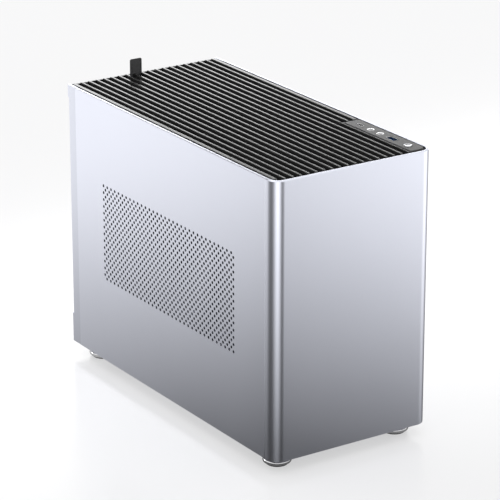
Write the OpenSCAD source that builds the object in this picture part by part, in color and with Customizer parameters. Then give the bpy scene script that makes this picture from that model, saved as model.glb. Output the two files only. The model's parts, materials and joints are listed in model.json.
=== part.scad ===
// Small desktop computer tower: aluminium shell, slatted lid, lift-off panels,
// ring feet, and the boards, coolers and supply that it holds.
// +Z up, front face towards -Y, origin on the floor under the middle of the body.

/* [Body] */
// Width of the body over its side panels
body_w = 170; // [165:1:210]
// Depth of the body, front face to rear edge
body_d = 354; // [350:1:430]
// Height of the body above its feet
body_h = 263; // [260:1:320]
// Wall of the aluminium shell
shell_t = 2.5; // [2:0.1:3]
// Outer radius of the two front corners
corner_r = 11.2; // [7:0.1:13]
// Depth of the side returns of the front panel and the rear surround
return_d = 14; // [13:0.5:18]
// How far the rear surround sits in from the side panels
post_inset = 0.6; // [0:0.1:1.5]
// Depth of the shallow step along the rear edge
rear_step = 2; // [1:0.1:4]
// How far the rear panel lies inside the rear edge
rear_recess = 7; // [5:0.5:9]
// Seam between neighbouring shell pieces
seam = 0.35; // [0.3:0.05:0.6]

/* [Lid] */
// Number of raised slats, the two side rails included
slat_count = 20; // [16:1:22]
// Width of a slat
slat_w = 2.4; // [1.8:0.1:3]
// Width of the two side rails
rail_w = 4; // [3:0.1:5]
// Distance from the body's side to the middle of a side rail
rail_in = 6.3; // [6:0.1:7]
// Depth of the lid below the top of its slats
lid_h = 10; // [8:0.5:12]
// How far the lid's border lies below its slats
border_drop = 1; // [0.5:0.1:2]
// Width of the pull tab
tab_w = 13; // [9:0.5:20]
// Height of the pull tab above the slats
tab_h = 14; // [10:0.5:20]

/* [Control strip] */
// Width of the control strip
strip_w = 18.2; // [17:0.1:19]
// Length of the control strip
strip_l = 103; // [100:1:120]
// Distance from the front face to the strip's front end
strip_in = 5.8; // [5:0.1:7]
// Bright bevel round the strip
strip_bevel = 1; // [0.6:0.1:1.5]
// Diameter of the power button
button_d = 8; // [6:0.5:9]
// Press of the power button
button_travel = 1; // [0.5:0.1:1.5]

/* [Side vents] */
// Columns of holes along the depth
vent_cols = 66; // [40:2:66]
// Rows of holes down the height
vent_rows = 28; // [16:2:32]
// Distance between neighbouring columns and rows
vent_pitch = 3.45; // [3.2:0.05:3.6]
// Diameter of a vent hole
vent_d = 3; // [2:0.1:3.4]
// Distance from the rear edge to the first column
vent_from_rear = 65.3; // [50:0.1:80]
// Distance from the top edge to the first row
vent_from_top = 84; // [60:1:100]

/* [Feet] */
// Outer diameter of a foot ring
foot_d = 26.5; // [20:0.5:30]
// Height of the feet
foot_h = 12; // [9:0.5:16]
// Distance of a foot's middle from the body's sides
foot_in_x = 20; // [16:1:30]
// Distance of a foot's middle from the front and rear
foot_in_y = 24; // [18:1:40]

/* [Inside] */
// Side of the square main board
board_s = 170; // [170:1:174]
// Side of the rear and cooler fans
fan_s = 92; // [80:1:92]
// Depth of the rear and cooler fans
fan_t = 25; // [15:1:25]
// Side of the two floor fans
floor_fan_s = 120; // [100:1:122]
// Depth of the floor fans
floor_fan_t = 15; // [12:1:18]
// Length of the graphics card
gpu_l = 230; // [170:1:250]
// Running clearance round a fan's shaft
shaft_gap = 0.05; // [0.03:0.01:0.08]

/* [Hidden] */
$fn = 48;

silver = [0.76, 0.77, 0.79];
black = [0.06, 0.06, 0.065];
steel = [0.55, 0.56, 0.58];

// Faces of the body
side_x = body_w / 2;
front_y = -body_d / 2;
back_y = body_d / 2;
base_z = foot_h;
top_z = foot_h + body_h;
inner_x = side_x - shell_t;
sheet = 1.5;

// Frame inside the shell
screen_t = 1;
frame_top = top_z - lid_h - screen_t - 0.2;
flange_x = inner_x - 4;
floor_t = 2;
floor_top = base_z + shell_t + 0.1;
floor_z = floor_top - floor_t;
bulk_y = front_y + return_d + 2;
bulk_flange = 12;
leg_w = 8;
leg_in = 18.5;
leg_from_floor = 20;
leg_from_top = 30;
wall_y = back_y - rear_recess;
wall_t = 1.2;
in_y = wall_y - wall_t;
post_in_x = side_x - post_inset - shell_t;

// Snap studs and the clips that hold them
stud_r = 2.4;
clip_bore = 2.6;
clip_r = 4.5;
clip_l = 6;
stud_reach = 7.5;
stud_head_t = 1.2;
stud_head_r = 4;
stud_y = [front_y + 30, back_y - 30];
stud_z = [base_z + 18, frame_top - 30];
lid_stud_x = inner_x - 30.5;
lid_stud_y = [bulk_y + sheet + 7, in_y - 7];
lid_flange_x = lid_stud_x + 10;

// Lid and control strip
slat_pitch = (body_w - 2 * rail_in) / (slat_count - 1);
strip_x1 = inner_x - 0.5;
strip_x0 = strip_x1 - strip_w;
strip_y0 = front_y + strip_in;
strip_y1 = strip_y0 + strip_l;
strip_gap = 0.6;
strip_h = 8;
port_x = side_x - 12.8;
button_y = front_y + 21.3;
usb_a_y = front_y + 44.9;
jack_y = [front_y + 62.9, front_y + 77.5];
usb_c_y = front_y + 94.2;
strip_base_z = top_z - strip_h;
port_board_z = strip_base_z - 7;
jack_r = 1.8;
jack_ring_r = 3.6;
tab_x = -side_x + 75;
tab_t = 1.2;
tab_y = back_y - 2 - seam - tab_t;

// Main board and what stands on it
tray_x = flange_x - 10.5;
standoff_l = 6.5;
board_t = 1.6;
board_x = tray_x - standoff_l - board_t;
board_y1 = in_y - 2;
board_y0 = board_y1 - board_s;
board_z1 = frame_top - 4;
board_z0 = board_z1 - board_s;
board_hole = 6.35;
shield_reach = 36;
shield_past = 3;
shield_z1 = 4;
shield_z0 = 162;
shield_play = 0.2;
shield_proud = 0.6;
cpu_y = board_y1 - 82;
cpu_z = board_z1 - 70;
fins_y0 = cpu_y - 22;
fins_y1 = cpu_y + 24;
fin_n = 26;
fin_pitch = 3;
fin_t = 0.5;
fins_x1 = board_x - 23.9;
pipe_r = 3;
shaft_r = 1.5;

// Graphics card, hanging under its slot
slot_z = board_z0 + 8.5;
slot_h = 11;
card_x1 = board_x - slot_h - 0.5;
card_x0 = card_x1 - 98.4;
card_y1 = in_y - 2;
card_y0 = card_y1 - gpu_l;
shroud_z0 = slot_z - 51;
card_fan_r = 42;
card_fan_y = [card_y1 - 27 - card_fan_r, card_y0 + card_fan_r + 5];
card_fan_x = (card_x0 + card_x1) / 2 - 1;
slot_pitch = 20.32;
window_x1 = card_x1 - 2.4;
window_x0 = window_x1 - 96;

// Power supply, 125 x 100 x 63.5
supply_x0 = -inner_x + 9.5;
supply_x1 = supply_x0 + 63.5;
supply_y0 = bulk_y + sheet + 4;
supply_y1 = supply_y0 + 125;
supply_z1 = frame_top - 23;
supply_z0 = supply_z1 - 100;
supply_fan_r = 44;
supply_fan_y = (supply_y0 + supply_y1) / 2;
supply_fan_z = (supply_z0 + supply_z1) / 2;
inlet_w = 27;
inlet_h = 20;
supply_inlet_x = supply_x0 + 30;
supply_inlet_y = supply_y0 + 25;
switch_y = supply_inlet_y + 29;
switch_z = supply_z0 + 4;
switch_axle_r = 1;
switch_tip = 12;

// Fans at the rear and on the floor
rear_fan_x = -inner_x + 11.5 + fan_s / 2;
rear_fan_z = frame_top - 66;
floor_fan_y = [back_y - 117, back_y - 241];
rear_inlet_x = -inner_x + 24.5;
rear_inlet_z = floor_top + 15;

// Route of the mains link: from the rear inlet, forward along the floor, up to the supply's inlet
link_r = 3.5;
link_rear = [[0, -25.8, -0.6], [0, -32.8, -0.6], [-2, -38.8, -1.6], [-6, -45.8, -3.6],
    [-9, -53.8, -5.6], [-10, -63.8, -7.6], [-10, -98.8, -8.6], [-10, -138.8, -8.6]];
link_floor = [[-25, 120.5, 6.4], [-25, 80.5, 6.4], [-25, 40.5, 7.4], [-24.5, 22.5, 11.4],
    [-22, 10.5, 21.4]];
link_rise = [[-16, 2.5, -90.8], [-8, -0.5, -74.8], [-2, -0.5, -58.8], [0, 0, -44.8],
    [0, 0, -30.8], [0, 0, -15.8]];
link_route = concat(
    [for (p = link_rear) p + [rear_inlet_x, in_y, rear_inlet_z]],
    [for (p = link_floor) p + [supply_inlet_x, supply_inlet_y, floor_top]],
    [for (p = link_rise) p + [supply_inlet_x, supply_inlet_y, supply_z0]]);
// Route of the main lead: out of the supply's top, then round to the board's edge
lead_r = 4.5;
lead_start = [[31, 89.5, 0], [31, 89.5, 4.2], [35, 90.5, 9.7], [47, 93.5, 13.2], [61, 97.5, 12.7]];
lead_end = [[-61.9, -48.8, 58.2], [-54.9, -40.8, 50.2], [-50.9, -30.8, 41.2], [-48.9, -20.8, 32.2],
    [-45.9, -10.8, 23.2], [-41.9, -2.8, 16.2], [-35.9, 2.2, 12.2], [-28.9, 5.7, 10.7],
    [-21.9, 6.2, 10.2]];
lead_route = concat(
    [for (p = lead_start) p + [supply_x0, supply_y0, supply_z1]],
    [for (p = lead_end) p + [board_x, board_y0, cpu_z]]);

// A box between two opposite corners
module block(a, b) {
    translate(a) cube([b[0] - a[0], b[1] - a[1], b[2] - a[2]]);
}

// A round bar along X, Y or Z from its start point
module bar_x(p, r, l) {
    translate(p) rotate([0, 90, 0]) cylinder(r = r, h = l);
}

module bar_y(p, r, l) {
    translate(p) rotate([-90, 0, 0]) cylinder(r = r, h = l);
}

module bar_z(p, r, l) {
    translate(p) cylinder(r = r, h = l);
}

// Plan of the shell's rounded front, moved in by a distance
module front_plan(inset, y1) {
    x = side_x - inset;
    y = front_y + inset;
    r = corner_r - inset;
    intersection() {
        union() {
            translate([-x, front_y + corner_r]) square([2 * x, body_d]);
            translate([-x + r, y]) square([2 * x - 2 * r, corner_r]);
            for (s = [-1, 1])
                translate([s * (x - r), front_y + corner_r]) circle(r = r, $fn = 64);
        }
        translate([-x, front_y]) square([2 * x, y1 - front_y]);
    }
}

// A round tube with mitred joints along a list of points
function unit(v) = v / norm(v);
function heading(p, i) =
    i == 0 ? unit(p[1] - p[0]) :
    i == len(p) - 1 ? unit(p[i] - p[i - 1]) :
    unit(unit(p[i] - p[i - 1]) + unit(p[i + 1] - p[i]));
function side_of(t) = unit(cross(t, abs(t[0]) > 0.8 ? [0, 1, 0] : [1, 0, 0]));
function carried(p, i) =
    i == 0 ? side_of(heading(p, 0)) :
    let (t = heading(p, i), v = carried(p, i - 1)) unit(v - t * (v * t));
function ring_point(p, i, r, a) =
    let (t = heading(p, i), u = carried(p, i)) p[i] + r * (cos(a) * u + sin(a) * cross(t, u));

module tube_along(p, r, sides = 10) {
    n = len(p);
    rings = [for (i = [0 : n - 1]) for (k = [0 : sides - 1]) ring_point(p, i, r, -k * 360 / sides)];
    walls = [for (i = [0 : n - 2]) for (k = [0 : sides - 1])
        [i * sides + k, i * sides + (k + 1) % sides, (i + 1) * sides + (k + 1) % sides,
            (i + 1) * sides + k]];
    ends = [[for (k = [sides - 1 : -1 : 0]) k], [for (k = [0 : sides - 1]) (n - 1) * sides + k]];
    polyhedron(points = rings, faces = concat(walls, ends));
}

// --- Shell ---------------------------------------------------------------------------

module front_panel() {
    color(silver) {
        translate([0, 0, base_z]) linear_extrude(body_h) difference() {
            front_plan(0, front_y + return_d);
            front_plan(shell_t, front_y + return_d + 1);
        }
        // Lip that closes the front of the floor
        translate([0, 0, floor_z]) linear_extrude(floor_t)
            front_plan(shell_t, front_y + corner_r);
    }
}

// Staggered field of round vents, drawn in the plane of a side panel: X is the depth
module vent_field() {
    for (i = [0 : vent_cols - 1])
        for (j = [i % 2 : 2 : vent_rows - 1])
            translate([back_y - vent_from_rear - i * vent_pitch,
                top_z - vent_from_top - j * vent_pitch]) circle(d = vent_d, $fn = 16);
}

module side_panel() {
    rotate([90, 0, 90]) linear_extrude(shell_t) difference() {
        translate([front_y + return_d + seam, base_z])
            square([body_d - 2 * return_d - 2 * seam, body_h]);
        vent_field();
    }
}

module panel_studs() {
    for (y = stud_y)
        for (z = stud_z) {
            bar_x([inner_x - stud_head_t, y, z], stud_head_r, stud_head_t);
            bar_x([inner_x - stud_reach, y, z], stud_r, stud_reach - stud_head_t);
        }
}

module left_side_panel() {
    color(silver) translate([-side_x, 0, 0]) side_panel();
}

module right_side_panel() {
    color(silver) translate([inner_x, 0, 0]) side_panel();
}

module left_panel_studs() {
    color(steel) mirror([1, 0, 0]) panel_studs();
}

module right_panel_studs() {
    color(steel) panel_studs();
}

module rear_surround() {
    step_top = 13;
    step_bottom = 30;
    x = side_x - post_inset;
    color(silver) difference() {
        union() {
            for (s = [-1, 1])
                translate([s * (x - shell_t / 2) - shell_t / 2, back_y - return_d, base_z])
                    cube([shell_t, return_d, body_h]);
            block([-x, back_y - return_d, base_z], [x, back_y, base_z + shell_t]);
        }
        translate([-side_x, back_y - rear_step, base_z + step_bottom])
            cube([body_w, rear_step + 1, body_h - step_bottom - step_top]);
    }
}

// Centre height of card slot i, counted down from the board
function slot_centre(i) = slot_z - 6.2 - slot_pitch * i;

module fan_grille(x, z, r) {
    pitch = 7.5;
    n = floor(r / pitch);
    for (i = [-n : n])
        for (j = [-n : n])
            if (norm([i + (abs(j) % 2) / 2, j]) * pitch < r - 3)
                bar_y([x + (i + (abs(j) % 2) / 2) * pitch, in_y - 1, z + j * pitch], 2.75, 4);
}

module rear_panel() {
    screw = fan_s / 2 - 4.75;
    color(steel) difference() {
        union() {
            block([-post_in_x, in_y, base_z + shell_t], [post_in_x, wall_y, frame_top]);
            block([-lid_flange_x, in_y - 12, frame_top - sheet], [lid_flange_x, in_y, frame_top]);
        }
        // Opening for the board's port shield
        block([board_x - shield_reach, in_y - 1, board_z1 - shield_z0],
            [board_x + shield_past, wall_y + 1, board_z1 - shield_z1]);
        // Card slots
        for (i = [0 : 2])
            block([window_x0, in_y - 1, slot_centre(i) - 6.5],
                [window_x1, wall_y + 1, slot_centre(i) + 6.5]);
        // Mains inlet
        block([rear_inlet_x - inlet_w / 2, in_y - 1, rear_inlet_z - inlet_h / 2],
            [rear_inlet_x + inlet_w / 2, wall_y + 1, rear_inlet_z + inlet_h / 2]);
        fan_grille(rear_fan_x, rear_fan_z, fan_s / 2 - 3);
        for (sx = [-1, 1])
            for (sz = [-1, 1])
                bar_y([rear_fan_x + sx * screw, in_y - 1, rear_fan_z + sz * screw], 2.2, 4);
        for (s = [-1, 1])
            bar_z([s * lid_stud_x, lid_stud_y[1], frame_top - sheet - 1], clip_r, sheet + 2);
    }
}

module bottom_panel() {
    slot_w = 6;
    vent_r = floor_fan_s / 2 - 5;
    color(silver) difference() {
        union() {
            block([-flange_x, front_y + corner_r, floor_z], [flange_x, back_y - return_d, floor_top]);
            for (s = [-1, 1])
                translate([s * (flange_x - sheet / 2) - sheet / 2, bulk_y + sheet, floor_z])
                    cube([sheet, back_y - return_d - bulk_y - sheet, 30]);
        }
        // Long slots under the floor fans
        for (y = floor_fan_y)
            for (i = [-5 : 5]) {
                half = sqrt(vent_r * vent_r - pow(i * 10, 2));
                translate([i * 10 - slot_w / 2, y - half, floor_z - 1])
                    cube([slot_w, 2 * half, floor_t + 2]);
            }
        for (s = [-1, 1])
            for (y = stud_y)
                bar_x([s * flange_x - 3, y, stud_z[0]], clip_r, 6);
        for (p = foot_places())
            bar_z([p[0], p[1], floor_z - 1], 2.1, floor_t + 2);
    }
}

module front_bulkhead() {
    color(steel) difference() {
        union() {
            block([-flange_x, bulk_y, floor_top], [flange_x, bulk_y + sheet, frame_top]);
            block([-lid_flange_x, bulk_y + sheet, frame_top - sheet],
                [lid_flange_x, bulk_y + sheet + bulk_flange, frame_top]);
        }
        for (s = [-1, 1])
            bar_z([s * lid_stud_x, lid_stud_y[0], frame_top - sheet - 1], clip_r, sheet + 2);
    }
}

module bulkhead_legs() {
    color(steel)
        for (sx = [-1, 1])
            for (z = [floor_top + leg_from_floor, frame_top - leg_from_top])
                translate([sx * (flange_x - leg_in) - leg_w / 2, front_y + shell_t, z])
                    cube([leg_w, bulk_y - front_y - shell_t, leg_w]);
}

// Angle rail along the top of one side, standing flange outside
module top_rail(ledge_y0) {
    drop = 42;
    difference() {
        union() {
            block([flange_x - sheet, bulk_y + sheet, frame_top - drop], [flange_x, in_y, frame_top]);
            block([flange_x - 11, ledge_y0, frame_top - sheet], [flange_x - sheet, in_y, frame_top]);
        }
        for (y = stud_y)
            bar_x([flange_x - 3, y, stud_z[1]], clip_r, 6);
    }
}

module top_rails() {
    color(steel) {
        mirror([1, 0, 0]) top_rail(bulk_y + sheet);
        top_rail(strip_y1 + 4);
        // Ledge that carries the control strip
        block([flange_x - sheet, strip_y0 + 12, frame_top], [flange_x, strip_y1 - 2, strip_base_z]);
    }
}

module clip(l) {
    difference() {
        cylinder(r = clip_r, h = l);
        translate([0, 0, -1]) cylinder(r = clip_bore, h = l + 2);
    }
}

module panel_clips() {
    color([0.85, 0.85, 0.8]) {
        for (s = [-1, 1]) {
            for (y = stud_y)
                for (z = stud_z)
                    translate([s > 0 ? flange_x - 4 : -flange_x + 4 - clip_l, y, z])
                        rotate([0, 90, 0]) clip(clip_l);
            for (y = lid_stud_y)
                translate([s * lid_stud_x, y, frame_top - clip_l]) clip(clip_l);
        }
    }
}

// --- Lid -----------------------------------------------------------------------------

// Outline of the lid inside the shell
module lid_plan(inset) {
    intersection() {
        front_plan(shell_t + seam + inset, back_y - inset);
        translate([-post_in_x + seam + inset, front_y])
            square([2 * (post_in_x - seam - inset), body_d]);
    }
}

// Room that the lid leaves for the control strip
module strip_room(grow) {
    translate([strip_x0 - strip_gap - grow, front_y - 1])
        square([side_x, strip_y1 + strip_gap + grow - front_y + 1]);
}

module lid_border(w) {
    difference() {
        lid_plan(0);
        lid_plan(w);
        strip_room(0);
    }
    // Wall along the control strip
    intersection() {
        lid_plan(0);
        difference() {
            strip_room(w);
            strip_room(0);
        }
    }
}

module slats_plan() {
    difference() {
        intersection() {
            lid_plan(1.6);
            for (i = [0 : slat_count - 1]) {
                w = i == 0 || i == slat_count - 1 ? rail_w : slat_w;
                translate([-side_x + rail_in + i * slat_pitch - w / 2, front_y])
                    square([w, body_d]);
            }
        }
        strip_room(0.8);
        // Slot that the pull tab stands in
        translate([tab_x - tab_w / 2 - 0.3, tab_y - 0.3]) square([tab_w + 0.6, tab_t + 0.6]);
    }
}

module cross_bars_plan() {
    bar = 4;
    n = 5;
    difference() {
        intersection() {
            lid_plan(1);
            union() {
                for (i = [1 : n - 1])
                    translate([-side_x, front_y + i * body_d / n]) square([body_w, bar]);
                for (y = [lid_stud_y[0] - 6, lid_stud_y[1] - 6])
                    translate([-side_x, y]) square([body_w, 12]);
            }
        }
        strip_room(0);
    }
}

module top_cover() {
    color(black) {
        translate([0, 0, top_z - lid_h]) linear_extrude(lid_h - border_drop) lid_border(2);
        translate([0, 0, top_z - lid_h + 2]) linear_extrude(lid_h - 2) slats_plan();
        translate([0, 0, top_z - lid_h]) linear_extrude(2.5) cross_bars_plan();
    }
}

module top_cover_studs() {
    z0 = frame_top - clip_l + 1;
    z1 = top_z - lid_h;
    color(steel)
        for (s = [-1, 1])
            for (y = lid_stud_y) {
                bar_z([s * lid_stud_x, y, z0], stud_r, z1 - z0);
            }
}

module dust_screen() {
    hole = 9;
    color([0.04, 0.04, 0.04]) translate([0, 0, top_z - lid_h - screen_t])
        linear_extrude(screen_t) difference() {
            lid_plan(0.5);
            strip_room(0.4);
            for (s = [-1, 1])
                for (y = lid_stud_y)
                    translate([s * lid_stud_x, y]) circle(r = stud_r + 0.4);
            for (x = [-6 : 4])
                for (y = [-10 : 10])
                    translate([x * 12 - hole / 2 + 3, y * 14 - hole / 2]) square([hole, hole + 2]);
        }
}

module pull_tab() {
    color([0.2, 0.2, 0.2])
        block([tab_x - tab_w / 2, tab_y, top_z - lid_h + 2.5],
            [tab_x + tab_w / 2, tab_y + tab_t, top_z + tab_h]);
}

// --- Control strip ---------------------------------------------------------------------

module strip_plan(inset) {
    r = corner_r - shell_t - 1;
    x0 = strip_x0 + inset;
    x1 = strip_x1 - inset;
    y0 = strip_y0 + inset;
    y1 = strip_y1 - inset;
    difference() {
        translate([x0, y0]) square([x1 - x0, y1 - y0]);
        // Front outer corner follows the shell's corner
        translate([x1 - r, y0 - 0.01]) square([r + 0.01, r]);
    }
    intersection() {
        translate([x1 - r, y0 + r]) circle(r = r, $fn = 64);
        translate([x1 - r, y0]) square([r, r]);
    }
}

module strip_plate() {
    color([0.1, 0.1, 0.11]) difference() {
        union() {
            translate([0, 0, strip_base_z]) linear_extrude(strip_h - strip_bevel) strip_plan(0);
            translate([0, 0, top_z - strip_bevel]) linear_extrude(strip_bevel)
                strip_plan(strip_bevel / 2);
        }
        bar_z([port_x, button_y, strip_base_z - 1], button_d / 2 + 0.2, strip_h + 2);
        block([port_x - 3.2, usb_a_y - 7, strip_base_z - 1], [port_x + 3.2, usb_a_y + 7, top_z + 1]);
        for (y = jack_y)
            bar_z([port_x, y, strip_base_z - 1], jack_ring_r + 0.2, strip_h + 2);
        translate([0, 0, strip_base_z - 1]) linear_extrude(strip_h + 2) capsule(2.1, 9.6);
        // Hollow underside
        block([strip_x0 + 2, strip_y0 + 10, strip_base_z - 1],
            [strip_x1 - 5.5, strip_y1 - 4, top_z - 3]);
    }
}

// Round-ended outline of the small oval port
module capsule(r, l) {
    translate([port_x, usb_c_y]) {
        translate([-r, -(l / 2 - r)]) square([2 * r, l - 2 * r]);
        for (s = [-1, 1])
            translate([0, s * (l / 2 - r)]) circle(r = r);
    }
}

button_low = top_z - 4.6;
module power_button() {
    color([0.75, 0.75, 0.78]) {
        bar_z([port_x, button_y, button_low], button_d / 2, top_z + 0.4 - button_low);
        bar_z([port_x, button_y, button_low - 1.4], 1.5, 1.6);
    }
}

// Points of a coil round the button's stem
function coil(r, z0, rise, turns, per_turn = 12) = [for (i = [0 : turns * per_turn])
    [port_x + r * cos(i * 360 / per_turn), button_y + r * sin(i * 360 / per_turn),
        z0 + rise * i / (turns * per_turn)]];

module button_spring() {
    wire_r = 0.3;
    color(steel) tube_along(coil(2.3, button_low - 3.3, 2.9, 3), wire_r, 6);
}

module power_switch() {
    z1 = button_low - 1.4 - button_travel - 0.1;
    color(black) {
        block([port_x - 3, button_y - 3, port_board_z + 1], [port_x + 3, button_y + 3, z1 - 1.2]);
        bar_z([port_x, button_y, z1 - 1.2], 1.3, 1.2);
    }
}

module usb_a_port() {
    z0 = port_board_z + 1;
    color([0.8, 0.81, 0.83]) difference() {
        block([port_x - 2.85, usb_a_y - 6.55, z0], [port_x + 2.85, usb_a_y + 6.55, top_z]);
        block([port_x - 2.55, usb_a_y - 6.25, z0 + 2], [port_x + 2.55, usb_a_y + 6.25, top_z + 1]);
    }
    color([0.1, 0.35, 0.7])
        block([port_x - 2.2, usb_a_y - 5.6, z0 + 2], [port_x - 0.4, usb_a_y + 5.6, top_z - 1]);
}

module usb_c_port() {
    z0 = port_board_z + 1;
    color([0.8, 0.81, 0.83]) difference() {
        translate([0, 0, z0]) linear_extrude(top_z - z0) capsule(1.7, 8.9);
        translate([0, 0, z0 + 2]) linear_extrude(top_z - z0) capsule(1.3, 8.2);
    }
    color(black)
        block([port_x - 0.35, usb_c_y - 3.2, z0 + 2], [port_x + 0.35, usb_c_y + 3.2, top_z - 1]);
}

module audio_jacks() {
    z0 = port_board_z + 1;
    color([0.8, 0.81, 0.83])
        for (y = jack_y)
            difference() {
                bar_z([port_x, y, z0], jack_ring_r, top_z - z0);
                bar_z([port_x, y, z0 + 1], jack_r, top_z - z0);
            }
}

module strip_board() {
    color([0.05, 0.2, 0.1])
        block([port_x - 5.5, bulk_y + sheet + 0.3, port_board_z],
            [port_x + 3.5, strip_y1 - 4, port_board_z + 1]);
}

// --- Feet ------------------------------------------------------------------------------

function foot_places() = [for (sx = [-1, 1]) for (sy = [-1, 1])
    [sx * (side_x - foot_in_x), sy * (body_d / 2 - foot_in_y)]];

module feet() {
    r = foot_d / 2;
    rim = 2.4;
    color([0.85, 0.85, 0.87])
        for (p = foot_places())
            translate([p[0], p[1], 0]) rotate_extrude($fn = 64) difference() {
                union() {
                    translate([2.1, 2]) square([r - rim - 2.1, 3]);
                    translate([r - rim, 1.5 + rim]) circle(r = rim);
                    translate([2.1, 4]) square([5.4, floor_z - 4]);
                }
                translate([0, 0]) square([2.1, floor_z + 1]);
            }
}

module foot_pads() {
    r = foot_d / 2;
    color(black)
        for (p = foot_places())
            translate([p[0], p[1], 0]) rotate_extrude() translate([4.6, 0]) square([r - 7.4, 2]);
}

module foot_screws() {
    color(steel)
        for (p = foot_places()) {
            bar_z([p[0], p[1], 0.6], 4, 1.4);
            bar_z([p[0], p[1], 2], 2, floor_top + 1 - 2);
        }
}

// --- Board and cooler ------------------------------------------------------------------

function board_holes() = [for (y = [board_y0 + board_hole, board_y1 - board_hole])
    for (z = [board_z0 + board_hole, board_z1 - board_hole]) [y, z]];

module board_tray() {
    color(steel)
        block([tray_x, board_y0 - 4, floor_top], [tray_x + wall_t, in_y, frame_top - sheet]);
}

module standoffs() {
    color([0.8, 0.65, 0.3])
        for (h = board_holes())
            bar_x([tray_x - standoff_l, h[0], h[1]], 3, standoff_l);
}

module main_board() {
    slot_y = [board_y1 - 22, board_y1 - 111];
    color([0.03, 0.05, 0.05]) {
        difference() {
            block([board_x, board_y0, board_z0], [board_x + board_t, board_y1, board_z1]);
            for (h = board_holes())
                bar_x([board_x - 1, h[0], h[1]], 1.6, board_t + 2);
        }
        // Card slot with its groove
        difference() {
            block([board_x - slot_h, slot_y[1], slot_z - 3.7], [board_x, slot_y[0], slot_z + 3.7]);
            block([board_x - slot_h - 1, slot_y[1] + 3, slot_z - 1],
                [board_x - 3, slot_y[0] - 3, slot_z + 1]);
        }
        // Memory slots
        for (y = [board_y0 + 17, board_y0 + 27])
            difference() {
                block([board_x - 8, y - 3, board_z1 - 150], [board_x, y + 3, board_z1 - 8]);
                block([board_x - 9, y - 0.8, board_z1 - 146], [board_x - 3, y + 0.8, board_z1 - 12]);
            }
        // Power socket on the front edge
        block([board_x - 10, board_y0 + 1, cpu_z - 14], [board_x, board_y0 + 11, cpu_z + 38]);
    }
}

module board_screw(h) {
    bar_x([board_x - 2, h[0], h[1]], 2.8, 2);
    bar_x([board_x, h[0], h[1]], 1.5, board_t);
}

module case_screws() {
    screw = fan_s / 2 - 4.75;
    color(steel) {
        for (h = board_holes())
            board_screw(h);
        for (sx = [-1, 1])
            for (sz = [-1, 1]) {
                bar_y([rear_fan_x + sx * screw, wall_y, rear_fan_z + sz * screw], 4, 1.8);
                bar_y([rear_fan_x + sx * screw, in_y - 6, rear_fan_z + sz * screw], 1.9, 6 + wall_t);
            }
        for (i = [0 : 2])
            bar_y([window_x0 - 5, wall_y, slot_centre(i)], 3.2, 1.8);
    }
}

// Ports on the board's rear edge: distance below the top edge, width down the board, height
port_list = [[24, 22, 14], [46, 15, 17], [66, 15, 17], [90, 17, 30], [114, 15, 17], [140, 18, 22]];
port_out = wall_y + 1;

module rear_ports() {
    lip = 1;
    color([0.7, 0.71, 0.73])
        for (p = port_list) {
            z = board_z1 - p[0];
            difference() {
                block([board_x - p[2], board_y1 - 18, z - p[1] / 2], [board_x, port_out, z + p[1] / 2]);
                block([board_x - p[2] + lip, port_out - 9, z - p[1] / 2 + lip],
                    [board_x - lip, port_out + 1, z + p[1] / 2 - lip]);
            }
        }
}

module port_shield() {
    color([0.6, 0.61, 0.63]) difference() {
        block([board_x - shield_reach + shield_play, in_y, board_z1 - shield_z0 + shield_play],
            [board_x + shield_past - shield_play, wall_y + shield_proud, board_z1 - shield_z1 - shield_play]);
        for (p = port_list)
            block([board_x - p[2] - 0.3, in_y - 1, board_z1 - p[0] - p[1] / 2 - 0.3],
                [board_x + 0.3, wall_y + 2, board_z1 - p[0] + p[1] / 2 + 0.3]);
    }
}

module processor() {
    color(steel) {
        block([board_x - 4, cpu_y - 22, cpu_z - 22], [board_x, cpu_y + 22, cpu_z + 22]);
        block([board_x - 7, cpu_y - 16, cpu_z - 16], [board_x - 4, cpu_y + 16, cpu_z + 16]);
    }
}

function pipe_places() = [for (sy = [-1, 1]) for (sz = [-1, 1]) [cpu_y + sy * 11, cpu_z + sz * 28]];

module cooler_base() {
    x1 = board_x - 7;
    tip_x = fins_x1 - fin_n * fin_pitch - 3;
    color([0.75, 0.45, 0.3]) {
        block([x1 - 9, cpu_y - 17, cpu_z - 32], [x1, cpu_y + 17, cpu_z + 32]);
        for (p = pipe_places())
            bar_x([tip_x, p[0], p[1]], pipe_r, x1 - 9 - tip_x);
    }
}

module cooler_fins() {
    color([0.8, 0.8, 0.82])
        for (i = [0 : fin_n - 1])
            difference() {
                block([fins_x1 - i * fin_pitch - fin_t, fins_y0, cpu_z - 44],
                    [fins_x1 - i * fin_pitch, fins_y1, cpu_z + 44]);
                for (p = pipe_places())
                    bar_x([fins_x1 - i * fin_pitch - 1, p[0], p[1]], pipe_r + 0.1, 2);
            }
}

// A square fan's frame: faces at z 0 and t, with a motor seat on four arms at the low side
module fan_frame(s, t) {
    bore = s / 2 - 2;
    seat = 3;
    hole = s / 2 - 4.75;
    difference() {
        translate([-s / 2, -s / 2, 0]) cube([s, s, t]);
        translate([0, 0, -1]) cylinder(r = bore, h = t + 2, $fn = 96);
        for (sx = [-1, 1])
            for (sy = [-1, 1])
                translate([sx * hole, sy * hole, -1]) cylinder(r = 2.15, h = t + 2);
    }
    difference() {
        union() {
            cylinder(r = s * 0.19, h = seat);
            for (a = [45 : 90 : 315])
                rotate([0, 0, a]) translate([s * 0.17, -1.5, 0]) cube([bore - s * 0.17 + 0.5, 3, seat]);
        }
        translate([0, 0, 0.8]) cylinder(r = shaft_r + shaft_gap, h = seat);
    }
}

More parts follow.
